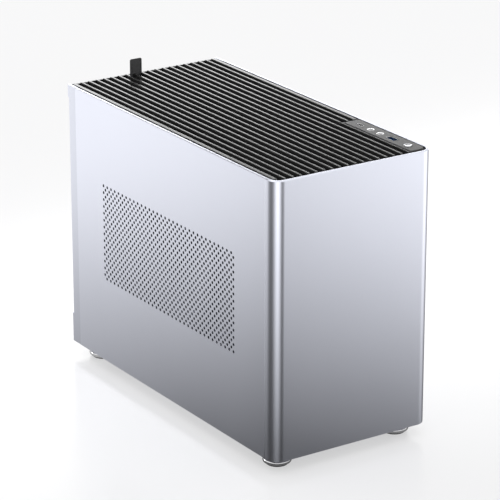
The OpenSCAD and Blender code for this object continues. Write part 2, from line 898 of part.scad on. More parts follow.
// A fan's rotor, its shaft standing in the frame's seat
module fan_rotor(s, t, blades) {
    hub = s * 0.19;
    tip = s / 2 - 3.2;
    lift = 3.6;
    blade_h = t - lift - 1.4;
    translate([0, 0, lift]) cylinder(r = hub, h = t - lift - 0.8);
    translate([0, 0, 1]) cylinder(r = shaft_r, h = lift);
    for (i = [0 : blades - 1])
        intersection() {
            translate([0, 0, lift]) cylinder(r = tip, h = blade_h);
            rotate([0, 0, i * 360 / blades]) translate([hub - 3, 0, lift + blade_h / 2])
                rotate([38, 0, 0]) translate([0, -blade_h * 1.2, -0.7])
                    cube([tip, blade_h * 2.4, 1.4]);
        }
}

module to_cooler_fan() {
    translate([fins_x1 - 42, fins_y0 - 1, cpu_z]) rotate([90, 0, 0]) children();
}

module cooler_fan_frame() {
    color(black) to_cooler_fan() fan_frame(fan_s, fan_t);
}

module cooler_fan_rotor() {
    color([0.2, 0.2, 0.22]) to_cooler_fan() fan_rotor(fan_s, fan_t, 9);
}

module to_rear_fan() {
    translate([rear_fan_x, in_y, rear_fan_z]) rotate([90, 0, 0]) children();
}

module rear_fan_frame() {
    color(black) to_rear_fan() fan_frame(fan_s, fan_t);
}

module rear_fan_rotor() {
    color([0.2, 0.2, 0.22]) to_rear_fan() fan_rotor(fan_s, fan_t, 9);
}

module floor_fan_frames() {
    color(black)
        for (y = floor_fan_y)
            translate([0, y, floor_top]) fan_frame(floor_fan_s, floor_fan_t);
}

module floor_rotor(i) {
    color([0.2, 0.2, 0.22]) translate([0, floor_fan_y[i], floor_top])
        fan_rotor(floor_fan_s, floor_fan_t, 11);
}

module floor_rotor_rear() {
    floor_rotor(0);
}

module floor_rotor_front() {
    floor_rotor(1);
}

module memory_sticks() {
    color([0.12, 0.12, 0.13])
        for (y = [board_y0 + 17, board_y0 + 27])
            block([board_x - 38, y - 0.7, board_z1 - 145.5], [board_x - 4, y + 0.7, board_z1 - 12.5]);
}

module drive_module() {
    color([0.1, 0.1, 0.12])
        block([board_x - 9, board_y0 + 60, board_z0 + 28], [board_x, board_y0 + 140, board_z0 + 50]);
}

module regulator_heatsink() {
    color([0.35, 0.36, 0.38]) difference() {
        block([board_x - 22, board_y1 - 40, cpu_z - 34], [board_x, board_y1 - 21, cpu_z + 42]);
        for (i = [0 : 2])
            block([board_x - 23, board_y1 - 37 + i * 5.5, cpu_z - 35],
                [board_x - 8, board_y1 - 35 + i * 5.5, cpu_z + 43]);
    }
}

// --- Graphics card ---------------------------------------------------------------------

module graphics_board() {
    color([0.03, 0.05, 0.05]) {
        block([card_x0, card_y0 + 4, slot_z - 0.8], [card_x1, card_y1 - 1, slot_z + 0.8]);
        // Edge connector in the slot's groove
        block([card_x1, board_y1 - 107, slot_z - 0.8], [board_x - 4, board_y1 - 26, slot_z + 0.8]);
        // Processor package
        block([card_x0 + 34, card_y1 - gpu_l / 2 - 15, slot_z - 3],
            [card_x0 + 64, card_y1 - gpu_l / 2 + 15, slot_z - 0.8]);
    }
    // Picture ports
    color(steel)
        for (i = [0 : 3])
            block([card_x0 + 6 + i * 21, card_y1 - 20, slot_z - 7.5],
                [card_x0 + 22 + i * 21, card_y1 - 1, slot_z - 0.8]);
}

module graphics_heatsink() {
    n = 30;
    step = (gpu_l - 60) / n;
    z1 = slot_z - 3;
    color([0.75, 0.76, 0.78]) difference() {
        union() {
            block([card_x0 + 6, card_y0 + 12, z1 - 5], [card_x1 - 9, card_y1 - 26, z1]);
            for (i = [0 : n - 1])
                block([card_x0 + 6, card_y0 + 14 + i * step, shroud_z0 + 16],
                    [card_x1 - 9, card_y0 + 15 + i * step, z1]);
            for (y = card_fan_y)
                bar_z([card_fan_x, y, shroud_z0 + 14], 7, 8);
        }
        for (y = card_fan_y)
            bar_z([card_fan_x, y, shroud_z0 + 13], shaft_r + shaft_gap, 7);
    }
}

module graphics_shroud() {
    wall = 2;
    z1 = slot_z - 1.2;
    color([0.12, 0.12, 0.13]) difference() {
        block([card_x0 - 1, card_y0, shroud_z0], [card_x1 - 1, card_y1 - 22, z1]);
        block([card_x0 - 1 + wall, card_y0 + wall, shroud_z0 + wall],
            [card_x1 - 1 - wall, card_y1 - 22 - wall, z1 + 1]);
        for (y = card_fan_y)
            bar_z([card_fan_x, y, shroud_z0 - 1], card_fan_r + 1.5, wall + 2);
        // Side vents
        for (i = [0 : 10])
            block([card_x0 - 2, card_y0 + 14 + i * 16, shroud_z0 + 22],
                [card_x1, card_y0 + 24 + i * 16, z1 - 8]);
    }
}

module graphics_backplate() {
    z0 = slot_z + 0.8;
    color([0.12, 0.12, 0.13]) {
        block([card_x0, card_y0 + 4, z0 + 2], [card_x1 - 8, card_y1 - 20, z0 + 3.2]);
        for (x = [card_x0 + 6, card_x1 - 14])
            for (y = [card_y0 + 12, card_y1 - 30])
                bar_z([x, y, z0], 2, 2.5);
    }
}

module graphics_rotor(i) {
    z0 = shroud_z0 + 1;
    color([0.2, 0.2, 0.22]) translate([card_fan_x, card_fan_y[i], z0]) {
        cylinder(r = 15, h = 10.5);
        translate([0, 0, 10]) cylinder(r = shaft_r, h = 7);
        for (k = [0 : 10])
            intersection() {
                cylinder(r = card_fan_r, h = 9.5);
                rotate([0, 0, k * 360 / 11]) translate([13, 0, 4.75]) rotate([38, 0, 0])
                    translate([0, -11, -0.6]) cube([card_fan_r, 22, 1.2]);
            }
    }
}

module graphics_rotor_rear() {
    graphics_rotor(0);
}

module graphics_rotor_front() {
    graphics_rotor(1);
}

module slot_brackets() {
    t = 0.9;
    color(steel) {
        difference() {
            block([window_x0 - 9, in_y - t, slot_centre(1) - 8.5],
                [window_x1 + 1, in_y, slot_centre(0) + 8]);
            for (i = [0 : 3])
                block([card_x0 + 5.7 + i * 21, in_y - 2, slot_z - 7.8],
                    [card_x0 + 22.3 + i * 21, wall_y, slot_z - 0.6]);
            for (k = [0 : 7])
                block([card_x0 + 6 + k * 10.5, in_y - 2, slot_centre(1) - 4],
                    [card_x0 + 12 + k * 10.5, wall_y, slot_centre(1) + 4]);
        }
        block([window_x0 - 9, in_y - t, slot_centre(2) - 8.5], [window_x1 + 1, in_y, slot_centre(2) + 8]);
    }
}

// --- Power supply ----------------------------------------------------------------------

module supply_case() {
    wall = 1;
    color([0.13, 0.13, 0.14]) {
        difference() {
            block([supply_x0, supply_y0, supply_z0], [supply_x1, supply_y1, supply_z1]);
            block([supply_x0 + wall, supply_y0 + wall, supply_z0 + wall],
                [supply_x1 - wall, supply_y1 - wall, supply_z1 - wall]);
            // Fan opening with its guard rings left standing
            difference() {
                bar_x([supply_x0 - 1, supply_fan_y, supply_fan_z], supply_fan_r, wall + 2);
                for (r = [8 : 9 : 40])
                    difference() {
                        bar_x([supply_x0, supply_fan_y, supply_fan_z], r + 1, wall);
                        bar_x([supply_x0 - 1, supply_fan_y, supply_fan_z], r - 1, wall + 2);
                    }
                for (a = [0, 90])
                    translate([supply_x0, supply_fan_y, supply_fan_z]) rotate([a + 45, 0, 0])
                        translate([0, -supply_fan_r, -1]) cube([wall, 2 * supply_fan_r, 2]);
                bar_x([supply_x0, supply_fan_y, supply_fan_z], 8, wall);
            }
            block([supply_inlet_x - inlet_h / 2, supply_inlet_y - inlet_w / 2, supply_z0 - 1],
                [supply_inlet_x + inlet_h / 2, supply_inlet_y + inlet_w / 2, supply_z0 + wall + 1]);
            block([supply_inlet_x - 6.8, switch_y - 5, supply_z0 - 1],
                [supply_inlet_x + 6.8, switch_y + 5, supply_z0 + wall + 1]);
        }
        // Motor post for the fan
        difference() {
            bar_x([supply_x0 + 17, supply_fan_y, supply_fan_z], 8, supply_x1 - supply_x0 - 17.5);
            bar_x([supply_x0 + 16, supply_fan_y, supply_fan_z], shaft_r + shaft_gap, 10);
        }
        // Walls of the switch's cradle, bored for its axle
        difference() {
            for (s = [-1, 1])
                block([supply_inlet_x + s * 7.6 - 0.8, switch_y - 6, supply_z0 + wall - 0.5],
                    [supply_inlet_x + s * 7.6 + 0.8, switch_y + 6, switch_z + 4]);
            bar_x([supply_inlet_x - 9, switch_y, switch_z], switch_axle_r + shaft_gap, 18);
        }
    }
}

module supply_rotor() {
    color([0.2, 0.2, 0.22]) translate([supply_x0 + 2.5, supply_fan_y, supply_fan_z]) rotate([0, 90, 0]) {
        cylinder(r = 16, h = 13);
        translate([0, 0, 12]) cylinder(r = shaft_r, h = 9);
        for (k = [0 : 6])
            intersection() {
                cylinder(r = supply_fan_r - 2, h = 12);
                rotate([0, 0, k * 360 / 7]) translate([14, 0, 6]) rotate([38, 0, 0])
                    translate([0, -14, -0.6]) cube([supply_fan_r, 28, 1.2]);
            }
    }
}

module supply_bracket() {
    z1 = supply_z0;
    color(steel) difference() {
        union() {
            block([-flange_x, bulk_y + sheet, z1 - sheet], [supply_x1 + 6, supply_y1, z1]);
            block([supply_x1 + 1, bulk_y + sheet, z1], [supply_x1 + 1 + sheet, supply_y1 - 60, z1 + 40]);
        }
        block([supply_inlet_x - inlet_h / 2 - 4, supply_inlet_y - inlet_w / 2 - 4, z1 - 3],
            [supply_inlet_x + inlet_h / 2 + 4, supply_inlet_y + 36, z1 + 1]);
    }
}

// Rocker with two flats, resting tipped to one side
module supply_switch() {
    half = 6.4;
    color(black) translate([supply_inlet_x, switch_y, switch_z]) rotate([-switch_tip, 0, 0]) {
        difference() {
            translate([-half, 0, 0]) rotate([0, 90, 0]) cylinder(r = 4.4, h = 2 * half);
            for (s = [-1, 1])
                rotate([s * switch_tip, 0, 0]) translate([-half - 1, s > 0 ? 0 : -8, -8])
                    cube([2 * half + 2, 8, 4.2]);
        }
        translate([-8.2, 0, 0]) rotate([0, 90, 0]) cylinder(r = switch_axle_r, h = 16.4);
    }
}

// A three-pin appliance inlet looking along +Z, its face at z 0
module appliance_inlet() {
    difference() {
        union() {
            translate([-15, -12, -2.4]) cube([30, 24, 2.4]);
            translate([-inlet_w / 2 + 0.2, -inlet_h / 2 + 0.2, -22]) cube([inlet_w - 0.4, inlet_h - 0.4, 20]);
        }
        translate([-12, -8, -16]) cube([24, 16, 17]);
    }
    for (p = [[-7, -2], [0, 2.5], [7, -2]])
        translate([p[0] - 1, p[1] - 2, -17]) cube([2, 4, 14.5]);
}

module supply_inlet() {
    color(black) translate([supply_inlet_x, supply_inlet_y, supply_z0 - 2.4])
        rotate([180, 0, 90]) appliance_inlet();
}

module rear_inlet() {
    color(black) translate([rear_inlet_x, wall_y + 2.4, rear_inlet_z])
        rotate([-90, 0, 0]) appliance_inlet();
}

// Lead inside the case from the rear inlet to the supply, with its plug
module mains_link() {
    z1 = supply_z0 - 3.2;
    color(black) {
        tube_along(link_route, link_r);
        difference() {
            block([supply_inlet_x - 7.6, supply_inlet_y - 11.6, z1 - 14],
                [supply_inlet_x + 7.6, supply_inlet_y + 11.6, z1 + 15]);
            for (p = [[-2, -7], [2.5, 0], [-2, 7]])
                block([supply_inlet_x + p[0] - 2.3, supply_inlet_y + p[1] - 1.3, z1 - 3],
                    [supply_inlet_x + p[0] + 2.3, supply_inlet_y + p[1] + 1.3, z1 + 16]);
        }
    }
}

module board_lead() {
    color([0.08, 0.08, 0.08]) {
        tube_along(lead_route, lead_r);
        block([board_x - 23, board_y0 + 1, cpu_z - 12], [board_x - 10, board_y0 + 11, cpu_z + 36]);
    }
}

// --- Pieces -----------------------------------------------------------------------------

front_panel();
left_side_panel();
left_panel_studs();
right_side_panel();
right_panel_studs();
rear_surround();
rear_panel();
bottom_panel();
front_bulkhead();
bulkhead_legs();
top_rails();
panel_clips();
top_cover();
top_cover_studs();
dust_screen();
pull_tab();
strip_plate();
power_button();
button_spring();
power_switch();
usb_a_port();
usb_c_port();
audio_jacks();
strip_board();
feet();
foot_pads();
foot_screws();
board_tray();
standoffs();
main_board();
case_screws();
rear_ports();
port_shield();
processor();
cooler_base();
cooler_fins();
cooler_fan_frame();
cooler_fan_rotor();
memory_sticks();
drive_module();
regulator_heatsink();
graphics_board();
graphics_heatsink();
graphics_shroud();
graphics_backplate();
graphics_rotor_rear();
graphics_rotor_front();
slot_brackets();
supply_case();
supply_rotor();
supply_bracket();
supply_switch();
supply_inlet();
rear_inlet();
mains_link();
board_lead();
rear_fan_frame();
rear_fan_rotor();
floor_fan_frames();
floor_rotor_rear();
floor_rotor_front();
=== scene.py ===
"""Small desktop computer tower: aluminium shell, slatted lid, and the boards and fans inside.

Metres, +Z up, front face towards -Y, origin on the floor under the middle of the body.
"""
import json
import math

import bmesh
import bpy
from mathutils import Matrix, Vector
from mathutils.geometry import delaunay_2d_cdt


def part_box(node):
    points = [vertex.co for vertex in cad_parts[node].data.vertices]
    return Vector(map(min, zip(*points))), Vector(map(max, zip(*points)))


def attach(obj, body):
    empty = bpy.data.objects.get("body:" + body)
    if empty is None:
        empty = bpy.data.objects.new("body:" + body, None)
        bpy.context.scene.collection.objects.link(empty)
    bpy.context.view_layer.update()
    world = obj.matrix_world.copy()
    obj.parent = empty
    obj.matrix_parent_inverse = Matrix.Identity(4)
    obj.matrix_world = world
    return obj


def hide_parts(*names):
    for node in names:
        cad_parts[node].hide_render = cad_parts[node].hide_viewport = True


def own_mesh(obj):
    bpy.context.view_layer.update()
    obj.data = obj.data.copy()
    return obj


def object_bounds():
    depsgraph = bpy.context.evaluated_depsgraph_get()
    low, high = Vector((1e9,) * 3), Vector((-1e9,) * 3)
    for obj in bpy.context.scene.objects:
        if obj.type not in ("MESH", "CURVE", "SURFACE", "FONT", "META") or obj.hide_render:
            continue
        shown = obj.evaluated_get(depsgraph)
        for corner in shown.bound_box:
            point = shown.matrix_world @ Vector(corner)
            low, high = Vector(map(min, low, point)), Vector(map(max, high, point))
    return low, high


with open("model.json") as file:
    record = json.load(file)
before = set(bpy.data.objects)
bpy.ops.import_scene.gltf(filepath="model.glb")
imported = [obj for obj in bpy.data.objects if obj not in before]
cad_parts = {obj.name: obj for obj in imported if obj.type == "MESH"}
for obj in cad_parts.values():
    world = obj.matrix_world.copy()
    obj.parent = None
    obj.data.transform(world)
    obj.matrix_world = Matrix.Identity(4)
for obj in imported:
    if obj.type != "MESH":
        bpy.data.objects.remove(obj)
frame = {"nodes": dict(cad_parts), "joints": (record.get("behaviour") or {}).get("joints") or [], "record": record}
cad_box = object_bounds()

# --- Sizes --------------------------------------------------------------------------------

WALL = 0.0025            # aluminium shell
CORNER = 0.0112          # outer radius of the front corners
SEAM = 0.00035           # gap between shell pieces
CUT_EDGE = 0.0009        # bright cut edge round the shell's rim
VENT_COLUMNS = 66
VENT_ROWS = 28
VENT_PITCH = 0.00345
VENT_HOLE = 0.003
VENT_FROM_REAR = 0.0653
VENT_FROM_TOP = 0.084
SLAT_COUNT = 20
SLAT_WIDTH = 0.0024
RAIL_WIDTH = 0.004
RAIL_IN = 0.0063
LID_BORDER = 0.002
BORDER_DROP = 0.001
STRIP_BEVEL = 0.001
TIGHT = 1e-6             # points closer than this are one

low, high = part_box("left_side_panel")
panel_y0, panel_y1 = low.y, high.y
base_z, top_z = low.z, high.z
inner_x = -high.x
side_x = -low.x
front_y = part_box("front_panel")[0].y
back_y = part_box("rear_surround")[1].y
floor_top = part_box("bottom_panel")[0].z + 0.002

joints = {joint["name"]: joint for joint in frame["joints"]}
node_body = {
    node: body
    for body, nodes in frame["record"]["behaviour"]["bodies"].items()
    for node in nodes
}
node_slot = {part["node"]: part["material_slot"] for part in frame["record"]["subparts"]}


# --- Node trees ---------------------------------------------------------------------------

def add(tree, kind, inputs=None, **settings):
    """Adds a node. An input is a value, or a socket to link it to."""
    made = tree.nodes.new(kind)
    for key, value in settings.items():
        setattr(made, key, value)
    for key, value in (inputs or {}).items():
        socket = made.inputs[key]
        if isinstance(value, bpy.types.NodeSocket):
            tree.links.new(value, socket)
        else:
            socket.default_value = value
    return made


def calc(tree, operation, a, b=0.0):
    return add(tree, "ShaderNodeMath", {0: a, 1: b}, operation=operation).outputs[0]


def join_xyz(tree, x=0.0, y=0.0, z=0.0):
    return add(tree, "ShaderNodeCombineXYZ", {0: x, 1: y, 2: z}).outputs[0]


def blend_colours(tree, share, a, b):
    mix = add(tree, "ShaderNodeMix", {0: share, 6: a, 7: b}, data_type="RGBA")
    return mix.outputs[2]


def shader_group(name, inputs, outputs):
    tree = bpy.data.node_groups.new(name, "ShaderNodeTree")
    for label, kind in inputs:
        tree.interface.new_socket(name=label, in_out="INPUT", socket_type="NodeSocket" + kind)
    for label, kind in outputs:
        tree.interface.new_socket(name=label, in_out="OUTPUT", socket_type="NodeSocket" + kind)
    return tree, tree.nodes.new("NodeGroupInput").outputs, tree.nodes.new("NodeGroupOutput").inputs


def build_grain_group():
    """Fine blasted or moulded grain, with slow smudges over it."""
    tree, given, made = shader_group(
        "Fine Grain",
        [("Place", "Vector"), ("Colour", "Color"), ("Roughness", "Float"), ("Grain", "Float"),
         ("Tone", "Float"), ("Smudge", "Float")],
        [("Colour", "Color"), ("Roughness", "Float"), ("Height", "Float")],
    )
    fine = add(tree, "ShaderNodeTexNoise", {"Vector": given["Place"], "Scale": given["Grain"],
                                            "Detail": 2.0, "Roughness": 0.6}).outputs[0]
    slow = add(tree, "ShaderNodeTexNoise", {"Vector": given["Place"], "Scale": 14.0,
                                            "Detail": 4.0, "Roughness": 0.55}).outputs[0]
    spread = calc(tree, "MULTIPLY", calc(tree, "SUBTRACT", fine, 0.5), given["Tone"])
    spread = calc(tree, "ADD", spread, calc(tree, "MULTIPLY", calc(tree, "SUBTRACT", slow, 0.5),
                                            calc(tree, "MULTIPLY", given["Tone"], 0.5)))
    scale = calc(tree, "ADD", spread, 1.0)
    toned = add(tree, "ShaderNodeVectorMath", {0: given["Colour"], 3: scale}, operation="SCALE")
    tree.links.new(toned.outputs[0], made["Colour"])
    worn = calc(tree, "MULTIPLY", calc(tree, "SUBTRACT", slow, 0.5), given["Smudge"])
    tree.links.new(calc(tree, "ADD", given["Roughness"], worn), made["Roughness"])
    tree.links.new(fine, made["Height"])
    return tree


def build_turned_group():
    """Fine rings left by a lathe, round the local Z axis."""
    tree, given, made = shader_group(
        "Turned Rings", [("Place", "Vector"), ("Rings", "Float"), ("Roughness", "Float")],
        [("Roughness", "Float"), ("Height", "Float")],
    )
    parts = add(tree, "ShaderNodeSeparateXYZ", {0: given["Place"]}).outputs
    across = calc(tree, "ADD", calc(tree, "MULTIPLY", parts[0], parts[0]),
                  calc(tree, "MULTIPLY", parts[1], parts[1]))
    radius = calc(tree, "SQRT", across)
    wave = calc(tree, "SINE", calc(tree, "MULTIPLY", radius, given["Rings"]))
    broken = add(tree, "ShaderNodeTexNoise", {"Vector": given["Place"], "Scale": 900.0}).outputs[0]
    height = calc(tree, "MULTIPLY", wave, broken)
    tree.links.new(height, made["Height"])
    rough = calc(tree, "ADD", given["Roughness"], calc(tree, "MULTIPLY", height, 0.06))
    tree.links.new(rough, made["Roughness"])
    return tree


def build_weave_group():
    """Plain weave in the local XZ plane: warp over weft, one thread apart."""
    tree, given, made = shader_group(
        "Plain Weave", [("Place", "Vector"), ("Threads", "Float"), ("Colour", "Color")],
        [("Colour", "Color"), ("Height", "Float")],
    )
    parts = add(tree, "ShaderNodeSeparateXYZ", {0: given["Place"]}).outputs
    warp = calc(tree, "SINE", calc(tree, "MULTIPLY", parts[0], given["Threads"]))
    weft = calc(tree, "SINE", calc(tree, "MULTIPLY", parts[2], given["Threads"]))
    crossed = calc(tree, "MULTIPLY", warp, weft)
    height = calc(tree, "ADD", calc(tree, "MULTIPLY", crossed, 0.5), 0.5)
    fuzz = add(tree, "ShaderNodeTexNoise", {"Vector": given["Place"], "Scale": 2500.0}).outputs[0]
    # The colour darkens where the threads dip: painted shade in the weave's hollows, with a random fuzz tone over
    # it.
    scale = calc(tree, "ADD", calc(tree, "MULTIPLY", height, 0.45),
                 calc(tree, "ADD", calc(tree, "MULTIPLY", fuzz, 0.4), 0.55))
    toned = add(tree, "ShaderNodeVectorMath", {0: given["Colour"], 3: scale}, operation="SCALE")
    tree.links.new(toned.outputs[0], made["Colour"])
    tree.links.new(height, made["Height"])
    return tree


def build_zinc_group():
    """Faint crystals of zinc plating."""
    tree, given, made = shader_group(
        "Zinc Crystals",
        [("Place", "Vector"), ("Colour", "Color"), ("Roughness", "Float"), ("Crystals", "Float")],
        [("Colour", "Color"), ("Roughness", "Float"), ("Height", "Float")],
    )
    cells = add(tree, "ShaderNodeTexVoronoi", {"Vector": given["Place"], "Scale": given["Crystals"]})
    shade = add(tree, "ShaderNodeSeparateColor", {0: cells.outputs["Color"]}).outputs[0]
    scale = calc(tree, "ADD", calc(tree, "MULTIPLY", shade, 0.16), 0.92)
    toned = add(tree, "ShaderNodeVectorMath", {0: given["Colour"], 3: scale}, operation="SCALE")
    tree.links.new(toned.outputs[0], made["Colour"])
    rough = calc(tree, "ADD", given["Roughness"], calc(tree, "MULTIPLY", shade, 0.12))
    tree.links.new(rough, made["Roughness"])
    tree.links.new(cells.outputs["Distance"], made["Height"])
    return tree


def build_circuit_group():
    """Copper tracks and small holes under solder mask, in the local YZ plane or XY plane."""
    tree, given, made = shader_group(
        "Circuit Tracks", [("Place", "Vector"), ("Mask", "Color"), ("Track", "Color")],
        [("Colour", "Color"), ("Height", "Float")],
    )
    grid = add(tree, "ShaderNodeTexVoronoi", {"Vector": given["Place"], "Scale": 210.0},
               feature="DISTANCE_TO_EDGE", distance="EUCLIDEAN").outputs["Distance"]
    tracks = add(tree, "ShaderNodeMapRange", {0: grid, 1: 0.03, 2: 0.07, 3: 1.0, 4: 0.0}).outputs[0]
    dots = add(tree, "ShaderNodeTexVoronoi", {"Vector": given["Place"], "Scale": 420.0,
                                              "Randomness": 0.6}).outputs["Distance"]
    holes = add(tree, "ShaderNodeMapRange", {0: dots, 1: 0.10, 2: 0.16, 3: 1.0, 4: 0.0}).outputs[0]
    share = calc(tree, "MAXIMUM", tracks, holes)
    tree.links.new(blend_colours(tree, share, given["Mask"], given["Track"]), made["Colour"])
    tree.links.new(share, made["Height"])
    return tree


GRAIN = build_grain_group()
TURNED = build_turned_group()
WEAVE = build_weave_group()
ZINC = build_zinc_group()
CIRCUIT = build_circuit_group()


def start_material(name, **values):
    """A material with its Principled shader and Object coordinates."""
    material = bpy.data.materials.new(name)
    material.use_nodes = True
    tree = material.node_tree
    shader = tree.nodes["Principled BSDF"]
    for key, value in values.items():
        shader.inputs[key.replace("_", " ").title().replace("Ior", "IOR")].default_value = value
    place = tree.nodes.new("ShaderNodeTexCoord").outputs["Object"]
    return material, tree, shader, place


def wire(tree, group, shader, inputs, depth):
    """Places a group, and feeds the shader from those of its outputs that it has."""
    made = add(tree, "ShaderNodeGroup", None, node_tree=group)
    for key, value in inputs.items():
        if isinstance(value, bpy.types.NodeSocket):
            tree.links.new(value, made.inputs[key])
        else:
            made.inputs[key].default_value = value
    for output, target in (("Colour", "Base Color"), ("Roughness", "Roughness")):
        if output in made.outputs:
            tree.links.new(made.outputs[output], shader.inputs[target])
    bump = add(tree, "ShaderNodeBump", {"Height": made.outputs["Height"], "Distance": depth})
    tree.links.new(bump.outputs[0], shader.inputs["Normal"])


def grained(name, colour, roughness, grain=2500.0, tone=0.06, smudge=0.05, depth=0.00002, **values):
    """Blasted metal, paint or moulded plastic."""
    material, tree, shader, place = start_material(name, **values)
    wire(tree, GRAIN, shader, {"Place": place, "Colour": (*colour, 1), "Roughness": roughness,
                               "Grain": grain, "Tone": tone, "Smudge": smudge}, depth)
    return material


def plated(name, colour, roughness, crystals=160.0, **values):
    """Zinc-plated sheet."""
    material, tree, shader, place = start_material(name, **values)
    wire(tree, ZINC, shader, {"Place": place, "Colour": (*colour, 1), "Roughness": roughness,
                              "Crystals": crystals}, 0.00001)
    return material


def turned(name, colour, roughness, centre, rings=30000.0, **values):
    """Lathe-turned metal round a vertical axis."""
    material, tree, shader, place = start_material(name, base_color=(*colour, 1), **values)
    moved = add(tree, "ShaderNodeMapping", {"Vector": place, "Location": (-centre.x, -centre.y, 0)})
    wire(tree, TURNED, shader, {"Place": moved.outputs[0], "Rings": rings, "Roughness": roughness},
         0.000004)
    return material


def woven(name, colour, threads, **values):
    material, tree, shader, place = start_material(name, **values)
    wire(tree, WEAVE, shader, {"Place": place, "Threads": threads, "Colour": (*colour, 1)}, 0.0001)
    return material


def circuit(name, mask, track, **values):
    material, tree, shader, place = start_material(name, **values)
    wire(tree, CIRCUIT, shader, {"Place": place, "Mask": (*mask, 1), "Track": (*track, 1)}, 0.00003)
    return material


key_low, key_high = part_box("power_button")
key_centre = (key_low + key_high) / 2

SILVER = grained("blasted_silver", (0.785, 0.805, 0.895), 0.30, 3200.0, 0.07, 0.03, metallic=1.0)
REAR_SILVER = grained("rear_silver", (0.70, 0.72, 0.80), 0.34, 3200.0, 0.07, 0.03, metallic=1.0)
CUT_SILVER = grained("cut_silver", (0.93, 0.93, 0.95), 0.16, 5000.0, 0.03, 0.03, metallic=1.0)
LID_BLACK = grained("lid_black", (0.012, 0.012, 0.013), 0.22, 3500.0, 0.2, 0.05, depth=0.000006,
                    specular_ior_level=0.7)
LID_SHADE = grained("lid_shade", (0.012, 0.012, 0.012), 0.6, 3500.0, 0.2, 0.05, specular_ior_level=0.2)
# Dark colour for the walls of the vent holes: painted shade in the bores.
VENT_SHADE = grained("vent_shade", (0.10, 0.10, 0.11), 0.6, 3500.0, 0.1, 0.05, metallic=0.6)
STRIP_BLACK = grained("strip_black", (0.030, 0.030, 0.031), 0.38, 3500.0, 0.12, 0.06, specular_ior_level=0.3)
CUT_BLACK = grained("cut_edge", (0.78, 0.79, 0.82), 0.2, 4000.0, 0.05, 0.05, metallic=1.0)
TAB_CLOTH = woven("tab_webbing", (0.045, 0.045, 0.047), 9000.0, roughness=0.75, sheen_weight=0.3)
TAB_EDGE = grained("tab_binding", (0.012, 0.012, 0.013), 0.7, 2500.0, 0.3, 0.05)
STEEL = plated("zinc_steel", (0.52, 0.53, 0.55), 0.34, metallic=1.0)
NICKEL = grained("nickel_plate", (0.74, 0.74, 0.75), 0.2, 1500.0, 0.06, 0.08, metallic=1.0)
CHROME = grained("foot_chrome", (0.86, 0.86, 0.88), 0.07, 900.0, 0.02, 0.03, depth=0.000004, metallic=1.0)
RUBBER = grained("rubber", (0.012, 0.012, 0.012), 0.8, 1800.0, 0.3, 0.1, depth=0.00006)
KEY_METAL = turned("turned_key", (0.72, 0.73, 0.76), 0.2, key_centre, metallic=1.0)
PLASTIC = grained("moulded_black", (0.018, 0.018, 0.019), 0.42, 2200.0, 0.15, 0.08, depth=0.00004)
GREY_PLASTIC = grained("fan_grey", (0.085, 0.087, 0.092), 0.36, 2200.0, 0.1, 0.08)
CLIP_PLASTIC = grained("clip_nylon", (0.62, 0.61, 0.55), 0.45, 1800.0, 0.06, 0.08)
BLUE_PLASTIC = grained("blue_insert", (0.02, 0.12, 0.36), 0.35, 2200.0, 0.1, 0.05)
GOLD = grained("contact_gold", (0.85, 0.62, 0.28), 0.22, 2000.0, 0.05, 0.05, metallic=1.0)
BRASS = grained("brass", (0.72, 0.52, 0.24), 0.28, 1500.0, 0.08, 0.08, metallic=1.0)
COPPER = grained("copper", (0.80, 0.42, 0.27), 0.24, 1500.0, 0.08, 0.08, metallic=1.0)
ALUMINIUM = grained("fin_aluminium", (0.80, 0.81, 0.83), 0.26, 1500.0, 0.05, 0.08, metallic=1.0)
DARK_METAL = grained("dark_heatsink", (0.11, 0.115, 0.12), 0.36, 2500.0, 0.1, 0.06, metallic=0.8)
BLACK_STEEL = grained("black_steel", (0.020, 0.020, 0.021), 0.46, 2600.0, 0.2, 0.08, depth=0.00003)
SCREW_BLACK = grained("black_screw", (0.03, 0.03, 0.032), 0.32, 2000.0, 0.1, 0.1, metallic=0.7)
SCREEN = grained("filter_mesh", (0.01, 0.01, 0.01), 0.6, 1500.0, 0.3, 0.05)
BOARD = circuit("board_mask", (0.006, 0.010, 0.010), (0.022, 0.030, 0.030), roughness=0.38)
GREEN_BOARD = circuit("green_mask", (0.008, 0.075, 0.035), (0.02, 0.14, 0.06), roughness=0.35)
CABLE = grained("cable_jacket", (0.015, 0.015, 0.016), 0.48, 1600.0, 0.25, 0.08, depth=0.00005)
SLEEVE = woven("cable_sleeve", (0.022, 0.022, 0.024), 5200.0, roughness=0.7)


# --- Meshes -------------------------------------------------------------------------------

def block(bm, a, b):
    """A box between two opposite corners."""
    corners = [bm.verts.new((x, y, z)) for x in (a[0], b[0]) for y in (a[1], b[1]) for z in (a[2], b[2])]
    for face in ((0, 1, 3, 2), (4, 6, 7, 5), (0, 4, 5, 1), (2, 3, 7, 6), (0, 2, 6, 4), (1, 5, 7, 3)):
        bm.faces.new([corners[i] for i in face])


def bridge(bm, first, second, kind=0, closed=True):
    """Quads between two rows of points of the same length."""
    count = len(first)
    for i in range(count if closed else count - 1):
        j = (i + 1) % count
        bm.faces.new((first[i], first[j], second[j], second[i])).material_index = kind


def circle(x, y, radius, steps=24, start=0.0):
    return [(x + radius * math.cos(start + 2 * math.pi * i / steps),
             y + radius * math.sin(start + 2 * math.pi * i / steps)) for i in range(steps)]


def arc(x, y, radius, start, end, steps=8):
    """Points of an arc between two angles in degrees."""
    turns = [math.radians(start + (end - start) * i / steps) for i in range(steps + 1)]
    return [(x + radius * math.cos(t), y + radius * math.sin(t)) for t in turns]


def rounded_box(x0, y0, x1, y1, radius, steps=5):
    """Anticlockwise outline of a rectangle with round corners."""
    return (arc(x1 - radius, y0 + radius, radius, -90, 0, steps)
            + arc(x1 - radius, y1 - radius, radius, 0, 90, steps)
            + arc(x0 + radius, y1 - radius, radius, 90, 180, steps)
            + arc(x0 + radius, y0 + radius, radius, 180, 270, steps))


